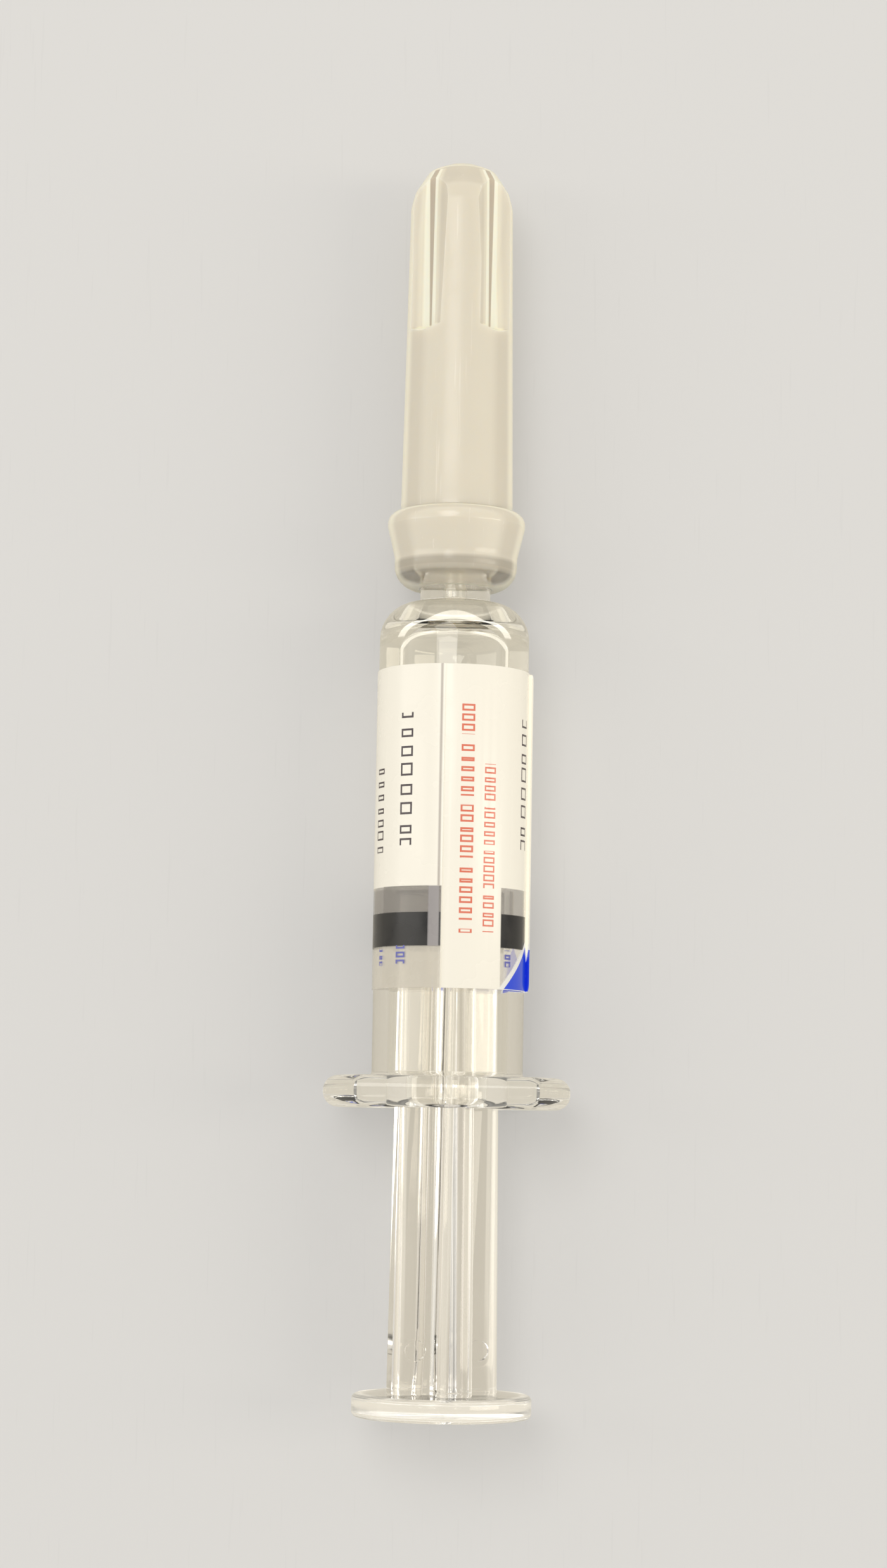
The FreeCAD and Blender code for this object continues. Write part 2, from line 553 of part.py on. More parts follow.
def flute_section(name, height, floor, floor_width, wall_reach, wall_angle):
    """Draws the flute's cross-section at one height: a shallow vee with a narrow floor."""
    sketch = new_sketch(shield, name, offset=height, turn=FLUTE_TURN)
    half = f"({floor_width} / 2)"
    rise = f"({floor} + ({wall_reach} - {half}) * tan({wall_angle} * 1deg))"
    draw_outline(sketch, [
        (floor, f"-{half}"),
        (rise, f"-{wall_reach}"),
        (f"{FLUTE_OUTER} + {floor} - {FLUTE_FLOOR}", f"-{wall_reach}"),
        (f"{FLUTE_OUTER} + {floor} - {FLUTE_FLOOR}", wall_reach),
        (rise, wall_reach),
        (floor, half),
    ])
    return sketch


flute_top = flute_section(
    "Flute_top", "Sizes.shield_length + Sizes.flute_runout", FLUTE_FLOOR,
    "Sizes.flute_floor_width_top", f"({radius('flute_width_top')})", "Sizes.flute_wall_angle_top")
flute_low = flute_section(
    "Flute_low", "Sizes.flute_end", FLUTE_FLOOR,
    "Sizes.flute_floor_width_end", f"({radius('flute_width_end')})", "Sizes.flute_wall_angle_end")
flute_runout = flute_section(
    "Flute_runout", "Sizes.flute_end - Sizes.flute_runout", radius("shield_body_diameter"),
    "Sizes.flute_floor_width_end", f"({radius('flute_width_end')})", "Sizes.flute_wall_angle_end")
sleeve_volume = shield.Shape.Volume
flute = shield.newObject("PartDesign::SubtractiveLoft", "Flute")
flute.Profile = flute_top
flute.Sections = [flute_low, flute_runout]
flute.Ruled = True
doc.recompute()
flutes = shield.newObject("PartDesign::PolarPattern", "Flutes")
flutes.Originals = [flute]
flutes.Axis = ([item for item in shield.Origin.OriginFeatures if item.Role == "Z_Axis"][0], [""])
flutes.Angle = 360.0
flutes.setExpression("Occurrences", "Sizes.flute_count")
shield.Tip = flutes
doc.recompute()
if shield.Shape.Volume >= sleeve_volume:
    raise RuntimeError("the flutes cut nothing")


# Stopper: black rubber with sealing ribs and a threaded hole for the rod's stud
RIB = "(Sizes.bore_diameter / 2 - Sizes.stopper_bore_clearance)"
STUD_HOLE = "(Sizes.rod_stud_diameter / 2 + Sizes.stopper_hole_clearance)"
HOLE_DEPTH = "(Sizes.rod_stud_length + Sizes.stopper_hole_spare)"

stopper = new_body("plunger_stopper", f"{FLANGE_PLACE} + Sizes.stopper_depth")
stopper_profile = [(STUD_HOLE, "0"), (radius("stopper_core_diameter"), "0")]
for number in range(int(size("Sizes.stopper_rib_count"))):
    foot = f"(Sizes.stopper_rib_slope + {number} * Sizes.stopper_rib_pitch)"
    crest = f"({foot} + Sizes.stopper_rib_slope)"
    stopper_profile += [
        (radius("stopper_core_diameter"), foot),
        (RIB, crest),
        (RIB, f"{crest} + Sizes.stopper_rib_width"),
        (radius("stopper_core_diameter"), f"{crest} + Sizes.stopper_rib_width + Sizes.stopper_rib_slope"),
    ]
NOSE_BAND = "(Sizes.stopper_nose_start - Sizes.stopper_rib_width)"
stopper_profile += [
    (radius("stopper_core_diameter"), f"{NOSE_BAND} - Sizes.stopper_rib_slope"),
    (RIB, NOSE_BAND),
    (RIB, "Sizes.stopper_nose_start"),
    (radius("stopper_nose_diameter"), "Sizes.stopper_length"),
    ("0", "Sizes.stopper_length"),
    ("0", HOLE_DEPTH),
    (STUD_HOLE, HOLE_DEPTH),
]
turn_profile(stopper, "Stopper", stopper_profile)


# Plunger rod: thumb disc, four ribs, pushing disc and stud, moulded as one piece
rod = new_body("plunger_rod", THUMB_END, roll="Sizes.rod_roll")
disc = new_sketch(rod, "Thumb_disc_outline")
draw_circle(disc, "Disc", "0", "0", radius("thumb_disc_diameter"))
add_pad(rod, "Thumb_disc", disc, "Sizes.thumb_disc_thickness")
disc_reach = size(radius("thumb_disc_diameter"))
fillet(rod, "Thumb_disc_edges", lambda edge: edge.isClosed() and edge.BoundBox.XMax > disc_reach - NEAR,
       "Sizes.thumb_disc_round")

RIB_LENGTH = f"({ROD_LENGTH} - Sizes.rod_head_thickness)"
for name, wide, high in (("Wide_ribs", "rod_width", "rod_rib_thickness"),
                         ("High_ribs", "rod_rib_thickness", "rod_width")):
    plate = new_sketch(rod, f"{name}_section", offset="Sizes.thumb_disc_thickness")
    draw_outline(plate, rectangle(
        f"-{radius(wide)}", f"-{radius(high)}", radius(wide), radius(high)))
    add_pad(rod, name, plate, RIB_LENGTH)

half_rib = size(radius("rod_rib_thickness"))
half_rod = size(radius("rod_width"))


def is_rib_root(edge):
    """Says whether an edge is one of the four inner corners between the ribs."""
    spot = middle(edge)
    inner = abs(abs(spot.x) - half_rib) < NEAR and abs(abs(spot.y) - half_rib) < NEAR
    return runs_along_axis(edge) and inner


def is_rib_edge(edge):
    """Says whether an edge is one of the eight long outer edges of the ribs."""
    spot = middle(edge)
    return runs_along_axis(edge) and abs(max(abs(spot.x), abs(spot.y)) - half_rod) < NEAR


fillet(rod, "Rib_roots", is_rib_root, "Sizes.rod_rib_root_round")
fillet(rod, "Rib_edges", is_rib_edge, "Sizes.rod_rib_edge_round")
disc_front = size("Sizes.thumb_disc_thickness")


def is_rib_foot(edge):
    """Says whether an edge lies where the ribs stand on the thumb disc."""
    box = edge.BoundBox
    on_disc = abs(box.ZMin - disc_front) < NEAR and abs(box.ZMax - disc_front) < NEAR
    return on_disc and box.XMax < half_rod + NEAR and box.YMax < half_rod + NEAR


fillet(rod, "Rib_feet", is_rib_foot, "Sizes.rod_foot_round")

HEAD_REAR = f"(Sizes.thumb_disc_thickness + {RIB_LENGTH})"
head = new_sketch(rod, "Head_outline", offset=HEAD_REAR)
draw_circle(head, "Head", "0", "0", radius("rod_head_diameter"))
add_pad(rod, "Head", head, "Sizes.rod_head_thickness")
head_reach = size(radius("rod_head_diameter"))
head_front = size(f"{HEAD_REAR} + Sizes.rod_head_thickness")
fillet(rod, "Head_edges", lambda edge: is_ring(edge, head_reach, head_front)
       or is_ring(edge, head_reach, size(HEAD_REAR)), "Sizes.rod_head_round")

stud = new_sketch(rod, "Stud_outline", offset=f"{HEAD_REAR} + Sizes.rod_head_thickness")
draw_circle(stud, "Stud", "0", "0", radius("rod_stud_diameter"))
add_pad(rod, "Stud", stud, "Sizes.rod_stud_length")
stud_reach = size(radius("rod_stud_diameter"))
stud_end = head_front + size("Sizes.rod_stud_length")
chamfer(rod, "Stud_end", lambda edge: is_ring(edge, stud_reach, stud_end), "Sizes.rod_stud_chamfer")

marks = new_sketch(rod, "Ejector_mark_outlines", "XZ_Plane", offset=radius("rod_rib_thickness"))
MARK_REACH = "((Sizes.rod_width + Sizes.rod_rib_thickness + Sizes.rod_rib_root_round) / 4)"
MARK_HEIGHT = "(Sizes.thumb_disc_thickness + Sizes.ejector_mark_height)"
draw_circle(marks, "Left_mark", f"-{MARK_REACH}", MARK_HEIGHT, radius("ejector_mark_diameter"))
draw_circle(marks, "Right_mark", MARK_REACH, MARK_HEIGHT, radius("ejector_mark_diameter"))
cut_pocket(rod, "Ejector_marks", marks, "Sizes.ejector_mark_depth")


# Label: a clear film wrapped round the barrel, doubled at its lap, with a tab that lifts at one side
FILM_INSIDE = "(Sizes.barrel_diameter / 2 + Sizes.label_gap)"
FILM_OUTSIDE = f"({FILM_INSIDE} + Sizes.label_film)"
LAP_OUTSIDE = f"({FILM_OUTSIDE} + Sizes.label_film)"

label = new_body("label", f"{FLANGE_PLACE} + Sizes.label_start")
wrap = new_sketch(label, "Wrap_section")
draw_circle(wrap, "Outside", "0", "0", FILM_OUTSIDE)
draw_circle(wrap, "Inside", "0", "0", FILM_INSIDE)
add_pad(label, "Wrap", wrap, "Sizes.label_length")

LAP_SPAN = "((Sizes.label_lap_end - Sizes.label_lap_start) * 1deg)"
MID_FILM = f"({FILM_INSIDE} + Sizes.label_film / 2)"
lap = new_sketch(label, "Lap_section", turn="Sizes.label_lap_start - 90")
draw_outline(lap, [
    (MID_FILM, "0"),
    (LAP_OUTSIDE, "0", LAP_OUTSIDE, "right"),
    (f"{LAP_OUTSIDE} * cos({LAP_SPAN})", f"{LAP_OUTSIDE} * sin({LAP_SPAN})"),
    (f"{MID_FILM} * cos({LAP_SPAN})", f"{MID_FILM} * sin({LAP_SPAN})", MID_FILM, "left"),
])
add_pad(label, "Lap", lap, "Sizes.label_length")

tab = new_sketch(label, "Tab_section", turn="Sizes.label_tab_root - 90")
draw_outline(tab, rectangle(MID_FILM, "-Sizes.label_tab_length", f"{MID_FILM} + Sizes.label_film",
                            "Sizes.label_tab_root_depth"))
add_pad(label, "Tab", tab, "Sizes.label_length")
tab_turn = FreeCAD.Rotation(FreeCAD.Vector(0, 0, 1), size("90 - Sizes.label_tab_root"))
tab_free_edge = -size("Sizes.label_tab_length")


def is_tab_corner(edge):
    """Says whether an edge crosses the film at a free corner of the tab."""
    heights = [tab_turn.multVec(corner.Point).y for corner in edge.Vertexes]
    at_free_edge = all(abs(height - tab_free_edge) < NEAR for height in heights)
    return at_free_edge and edge.Length < size("2 * Sizes.label_film")


fillet(label, "Tab_corners", is_tab_corner, "Sizes.label_tab_corner")


# Liquid: the dose between stopper and channel, with a flat surface under the air bubble
LIQUID_SIDE = "(Sizes.bore_diameter / 2 - Sizes.liquid_film)"
NOSE_RIM = "(Sizes.stopper_depth + Sizes.stopper_nose_start + Sizes.liquid_film)"
CHANNEL_SIDE = "(Sizes.channel_diameter / 2 - Sizes.liquid_film)"
LIQUID_END = f"({CHANNEL_END} - Sizes.channel_diameter / 2 + {CANNULA_HOLE} - Sizes.liquid_film)"

liquid = new_body("liquid_dose", FLANGE_PLACE)
turn_profile(liquid, "Liquid", [
    ("0", f"{STOPPER_FRONT} + Sizes.liquid_film"),
    (radius("stopper_nose_diameter"), f"{STOPPER_FRONT} + Sizes.liquid_film"),
    (LIQUID_SIDE, NOSE_RIM),
    (LIQUID_SIDE, "Sizes.bore_shoulder_start", "Sizes.bore_shoulder_round - Sizes.liquid_film", "right"),
    (BORE_CONE, f"{BORE_CONE_HEIGHT} - Sizes.liquid_film"),
    (CHANNEL_SIDE, "Sizes.channel_start - Sizes.liquid_film"),
    (CHANNEL_SIDE, LIQUID_END),
    ("0", LIQUID_END),
])
AIR_SIDE = radius("bubble_width")
AIR_NOSE = f"({AIR_SIDE} - Sizes.bubble_nose_round)"
AIR_END = f"({BORE_CONE_HEIGHT} - Sizes.bubble_end_gap)"
air = new_sketch(liquid, "Air_outline", "XZ_Plane", offset="Sizes.liquid_level")
draw_outline(air, [
    (f"-{AIR_SIDE}", "Sizes.stopper_depth"),
    (AIR_SIDE, "Sizes.stopper_depth"),
    (AIR_SIDE, f"{AIR_END} - Sizes.bubble_nose_round", "Sizes.bubble_nose_round", "right"),
    (AIR_NOSE, AIR_END),
    (f"-{AIR_NOSE}", AIR_END, "Sizes.bubble_nose_round", "right"),
    (f"-{AIR_SIDE}", f"{AIR_END} - Sizes.bubble_nose_round"),
])
cut_pocket(liquid, "Air", air, "Sizes.bore_diameter", backwards=True)


# Every object has to be sound before anything is written
doc.recompute()
faults = [item.Name for item in doc.Objects if {"Invalid", "Error"} & set(item.State)]
if faults:
    raise RuntimeError("these objects failed: " + ", ".join(faults))
pieces = [barrel, needle, adhesive, shield, stopper, rod, label, liquid]
for piece in pieces:
    if piece.Shape.isNull() or not piece.Shape.isValid() or len(piece.Shape.Solids) != 1:
        raise RuntimeError(f"{piece.Label} is not one sound solid")
for piece in pieces:
    piece.Shape.exportStep(os.path.join("parts", f"{piece.Label}.step"))
    box = piece.Shape.optimalBoundingBox(True, False)
    extent = f"{box.XLength:.2f} x {box.YLength:.2f} x {box.ZLength:.2f} mm"
    print(f"{piece.Label}: {piece.Shape.Volume:.2f} mm3, {extent}")
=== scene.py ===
"""Looks of a prefilled glass syringe that lies on a pale surface.

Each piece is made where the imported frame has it. Sizes in the classes are in millimetres, angles in degrees,
and a turned outline is given by its radius and its place along the axis, counted from the flange's rear.
"""
import logging
import math
from dataclasses import dataclass, replace
from enum import Enum
from typing import Callable, Iterable, Sequence

import bmesh
import bpy
from mathutils import Matrix, Vector


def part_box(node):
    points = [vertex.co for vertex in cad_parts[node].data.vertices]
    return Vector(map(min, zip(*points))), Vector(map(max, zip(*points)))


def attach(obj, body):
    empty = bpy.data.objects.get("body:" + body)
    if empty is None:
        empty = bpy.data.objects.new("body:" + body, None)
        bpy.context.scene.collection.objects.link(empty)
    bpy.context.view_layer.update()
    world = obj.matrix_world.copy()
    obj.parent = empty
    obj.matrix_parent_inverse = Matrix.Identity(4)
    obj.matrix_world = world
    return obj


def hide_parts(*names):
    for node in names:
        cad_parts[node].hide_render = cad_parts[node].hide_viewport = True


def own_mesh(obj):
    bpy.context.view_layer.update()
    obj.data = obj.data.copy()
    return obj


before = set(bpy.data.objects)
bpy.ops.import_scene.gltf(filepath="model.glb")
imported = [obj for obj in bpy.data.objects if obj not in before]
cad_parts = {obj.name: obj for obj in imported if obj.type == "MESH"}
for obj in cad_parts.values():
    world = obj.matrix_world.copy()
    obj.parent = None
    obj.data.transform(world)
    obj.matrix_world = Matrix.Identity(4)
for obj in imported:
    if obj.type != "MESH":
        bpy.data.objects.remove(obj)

MM = 0.001
SEGMENTS = 160           # faces round the axis of a large turned piece
ARC_STEP = 11.0          # largest angle between two points of a rounded corner
MERGE = 0.004 * MM       # places nearer than this are one
POLE = 0.001             # radius of the small hole that closes a turned end on the axis
UPRIGHT = 0.9            # a face looks along an axis when its normal has more than this of it
log = logging.getLogger("syringe")

Piece = bpy.types.Object
Node = bpy.types.Node
Socket = bpy.types.NodeSocket
Span = tuple[float, float]
Color = tuple[float, float, float]

BARREL_LOW, BARREL_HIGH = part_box("glass_barrel")
ROD_LOW, ROD_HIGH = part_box("plunger_rod")
LABEL_LOW, LABEL_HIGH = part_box("label")
STOPPER_LOW, STOPPER_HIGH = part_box("plunger_stopper")
SHIELD_LOW, SHIELD_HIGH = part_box("needle_shield")
NEEDLE_LOW, NEEDLE_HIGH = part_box("needle")
AXIS_HEIGHT = (BARREL_LOW.z + BARREL_HIGH.z) / 2
FLANGE_REAR = BARREL_LOW.y


def along(place: float) -> float:
    """Returns how far in front of the flange's rear a place on the Y axis is, in millimetres."""
    return (place - FLANGE_REAR) / MM


def spot_at(x: float, place: float, height: float) -> Vector:
    """Returns the spot for a place along the axis, with x and the height counted from the axis."""
    return Vector((x * MM, FLANGE_REAR + place * MM, AXIS_HEIGHT + height * MM))


class Body(Enum):
    """The bodies that pieces ride on."""

    BARREL = "barrel"
    PLUNGER = "plunger"
    SHIELD = "shield"


@dataclass(frozen=True)
class Corner:
    """One corner of a turned outline.

    Args:
        radius: distance from the axis.
        place: distance in front of the flange's rear.
        bend: radius of the corner's rounding.
    """

    radius: float
    place: float
    bend: float = 0.0


Outline = Sequence[Corner]


def shifted(corners: Outline, place: float) -> list[Corner]:
    """Moves an outline's corners along the axis."""
    return [replace(corner, place=corner.place + place) for corner in corners]


def rounded(corners: Outline) -> list[Vector]:
    """Rounds the corners of a closed outline.

    Args:
        corners: the outline's corners in order.

    Returns:
        The outline's points as (radius, place).
    """
    spots = [Vector((corner.radius, corner.place)) for corner in corners]
    points: list[Vector] = []
    for number, corner in enumerate(corners):
        here = spots[number]
        if corner.bend == 0.0:
            points.append(here)
            continue
        back = (spots[number - 1] - here).normalized()
        ahead = (spots[(number + 1) % len(spots)] - here).normalized()
        opening = back.angle(ahead)
        reach = corner.bend / math.tan(opening / 2)
        centre = here + (back + ahead).normalized() * (corner.bend / math.sin(opening / 2))
        first = here + back * reach - centre
        last = here + ahead * reach - centre
        start = math.atan2(first.y, first.x)
        turn = (math.atan2(last.y, last.x) - start + math.pi) % math.tau - math.pi
        steps = max(2, math.ceil(math.degrees(abs(turn)) / ARC_STEP))
        for step in range(steps + 1):
            angle = start + turn * step / steps
            points.append(centre + Vector((math.cos(angle), math.sin(angle))) * corner.bend)
    return points


def activate(piece: Piece) -> None:
    """Makes a piece the only selected and active object."""
    bpy.ops.object.select_all(action="DESELECT")
    piece.select_set(True)
    bpy.context.view_layer.objects.active = piece


def settle(piece: Piece) -> None:
    """Puts a piece's place into its mesh."""
    activate(piece)
    bpy.ops.object.transform_apply(location=True, rotation=True, scale=True)


def added(operator: Callable[..., object], **settings: object) -> Piece:
    """Adds an object by an operator, with nothing else selected."""
    bpy.ops.object.select_all(action="DESELECT")
    operator(**settings)
    return bpy.context.object


def swing(piece: Piece, degrees: float) -> None:
    """Turns a finished piece about the syringe's axis."""
    piece.matrix_world = Matrix.Translation((0, 0, AXIS_HEIGHT)) @ Matrix.Rotation(
        math.radians(degrees), 4, "Y") @ Matrix.Translation((0, 0, -AXIS_HEIGHT))
    settle(piece)


def edit(piece: Piece, mode: str = "VERT") -> None:
    """Enters edit mode on a piece with all of it selected."""
    activate(piece)
    bpy.ops.object.mode_set(mode="EDIT")
    bpy.ops.mesh.select_mode(type=mode)
    bpy.ops.mesh.select_all(action="SELECT")


def leave() -> None:
    """Leaves edit mode."""
    bpy.ops.object.mode_set(mode="OBJECT")


def pick(mode: str, wanted: Callable[..., bool]) -> int:
    """Selects only the parts of the edited mesh that pass a test.

    Args:
        mode: VERT, EDGE or FACE.
        wanted: test on a vertex's place, on an edge's two ends, or on a face's middle and normal.

    Returns:
        How many parts are selected.
    """
    bpy.ops.mesh.select_mode(type=mode)
    bpy.ops.mesh.select_all(action="DESELECT")
    mesh = bmesh.from_edit_mesh(bpy.context.object.data)
    if mode == "VERT":
        chosen = [part for part in mesh.verts if wanted(part.co)]
    elif mode == "EDGE":
        chosen = [part for part in mesh.edges if wanted(*(end.co for end in part.verts))]
    else:
        chosen = [part for part in mesh.faces if wanted(part.calc_center_median(), part.normal)]
    for part in chosen:
        part.select_set(True)
    if mode == "VERT":
        mesh.select_flush(True)
    bmesh.update_edit_mesh(bpy.context.object.data)
    return len(chosen)


def push(x: float = 0.0, y: float = 0.0, z: float = 0.0) -> None:
    """Extrudes what is selected and moves it, in metres."""
    bpy.ops.mesh.extrude_region_move(TRANSFORM_OT_translate={"value": (x, y, z)})


def distance_from_axis(spot: Vector) -> float:
    """Returns a place's distance from the syringe's axis, in millimetres."""
    return math.hypot(spot.x, spot.z - AXIS_HEIGHT) / MM


def close_up(piece: Piece) -> None:
    """Merges doubled vertices and points the faces outwards."""
    edit(piece)
    bpy.ops.mesh.remove_doubles(threshold=MERGE)
    bpy.ops.mesh.normals_make_consistent(inside=False)
    leave()


def smooth(piece: Piece, angle: float = 40.0) -> Piece:
    """Shades a piece smooth, apart from edges sharper than an angle."""
    activate(piece)
    bpy.ops.object.shade_smooth_by_angle(angle=math.radians(angle))
    return piece


def turned(name: str, corners: Outline, segments: int = SEGMENTS) -> Piece:
    """Turns a closed outline about the axis: a circle is extruded and scaled from point to point.

    Args:
        name: the piece's name.
        corners: the outline's corners.
        segments: faces round the axis.

    Returns:
        The turned piece.
    """
    points = rounded(corners)
    route = points + points[:1]
    piece = added(bpy.ops.mesh.primitive_circle_add, vertices=segments, radius=route[0].x * MM,
                  rotation=(math.pi / 2, 0, 0), location=spot_at(0, route[0].y, 0))
    piece.name = name
    settle(piece)
    edit(piece)
    for before, after in zip(route, route[1:]):
        push(y=(after.y - before.y) * MM)
        growth = after.x / before.x
        bpy.ops.transform.resize(value=(growth, 1, growth), center_override=spot_at(0, after.y, 0))
    leave()
    close_up(piece)
    return piece


def combine(piece: Piece, tool: Piece, operation: str = "DIFFERENCE") -> None:
    """Cuts a tool out of a piece, or joins it, and removes the tool."""
    activate(piece)
    modifier = piece.modifiers.new("combine", "BOOLEAN")
    modifier.operation = operation
    modifier.solver = "EXACT"
    modifier.object = tool
    bpy.ops.object.modifier_apply(modifier=modifier.name)
    bpy.data.objects.remove(tool)


class Recipe:
    """Builds the nodes of one material or group."""

    def __init__(self, tree: bpy.types.NodeTree, effects: "Effects | None" = None) -> None:
        """Starts on a tree; the effects are the groups that it may place."""
        self.tree = tree
        self.effects = effects

    def node(self, kind: str, **settings: object) -> Node:
        """Adds a node and sets its properties."""
        made = self.tree.nodes.new(kind)
        for key, value in settings.items():
            setattr(made, key, value)
        return made

    def wire(self, source: object, target: Socket) -> None:
        """Feeds a socket from another socket or a plain value; a colour gets its alpha here."""
        if isinstance(source, Socket):
            self.tree.links.new(source, target)
        else:
            target.default_value = (*source, 1.0) if target.type == "RGBA" else source

    def feed(self, node: Node, **values: object) -> Node:
        """Feeds a node's inputs; an underscore stands for a space in an input's name."""
        for key, value in values.items():
            self.wire(value, node.inputs[key.replace("_", " ")])
        return node

    def group(self, tree: bpy.types.NodeTree, **values: object) -> Node:
        """Places a node group and feeds its inputs."""
        return self.feed(self.node("ShaderNodeGroup", node_tree=tree), **values)

    def fill(self, made: Node, values: Iterable[object], slots: Iterable[int], output: int) -> Socket:
        """Feeds inputs by their numbers and gives one of the outputs."""
        for value, slot in zip(values, slots):
            self.wire(value, made.inputs[slot])
        return made.outputs[output]

    def math(self, operation: str, *values: object) -> Socket:
        """Adds a math node on sockets or numbers."""
        return self.fill(self.node("ShaderNodeMath", operation=operation), values, (0, 1), 0)

    def product(self, first: object, *others: object) -> object:
        """Multiplies sockets or numbers."""
        for other in others:
            first = self.math("MULTIPLY", first, other)
        return first

    def mix(self, share: object, first: object, second: object) -> Socket:
        """Mixes two colours by a share."""
        made = self.node("ShaderNodeMix", data_type="RGBA")
        return self.fill(made, (share, first, second), (0, 6, 7), 2)

    def blend(self, share: object, first: object, second: object) -> Socket:
        """Mixes two numbers by a share."""
        made = self.node("ShaderNodeMix", data_type="FLOAT")
        return self.fill(made, (share, first, second), (0, 2, 3), 0)

    def place(self) -> tuple[Socket, ...]:
        """Gives a point's place along the axis, its angle from the top and its distance from the axis."""
        return tuple(self.group(self.effects.place).outputs)

    def band(self, value: object, start: float, end: object, edge: float) -> Socket:
        """Gives 1 where a value lies between two limits, with soft edges."""
        return self.group(self.effects.band, Value=value, From=start, To=end, Edge=edge).outputs[0]

    def below(self, value: object, limit: object, edge: float) -> Socket:
        """Gives 1 where a value that is never less than 0 lies below a limit."""
        return self.band(value, -1.0, limit, edge)

    def above(self, value: object, limit: float, edge: float) -> Socket:
        """Gives 1 where a value lies above a limit."""
        return self.band(value, limit, 99.0, edge)

    def add_plain(self, shader: Node, share: object, color: object) -> None:
        """Mixes plain light into a material's surface.

        Args:
            shader: the material's shader.
            share: share of the plain light.
            color: its colour.
        """
        plain = self.feed(self.node("ShaderNodeEmission"), Color=color)
        surface = self.fill(self.node("ShaderNodeMixShader"),
                            (share, shader.outputs[0], plain.outputs[0]), (0, 1, 2), 0)
        self.feed(self.tree.nodes["Material Output"], Surface=surface)


def new_group(name: str, inputs: dict[str, float], numbers: Sequence[str], vectors: Sequence[str] = ()
              ) -> tuple[Recipe, dict[str, Socket], Node]:
    """Makes an empty node group.

    Args:
        name: the group's name.
        inputs: number sockets and their values.
        numbers: names of the outputs that are numbers.
        vectors: names of the outputs that are vectors.

    Returns:
        The recipe on its tree, its inputs by name and its output node.
    """
    tree = bpy.data.node_groups.new(name, "ShaderNodeTree")
    for key, value in inputs.items():
        socket = tree.interface.new_socket(name=key, in_out="INPUT", socket_type="NodeSocketFloat")
        socket.default_value = value
    for keys, kind in ((numbers, "NodeSocketFloat"), (vectors, "NodeSocketVector")):
        for key in keys:
            tree.interface.new_socket(name=key, in_out="OUTPUT", socket_type=kind)
    recipe = Recipe(tree)
    given = recipe.node("NodeGroupInput")
    return recipe, {key: given.outputs[key] for key in inputs}, recipe.node("NodeGroupOutput")


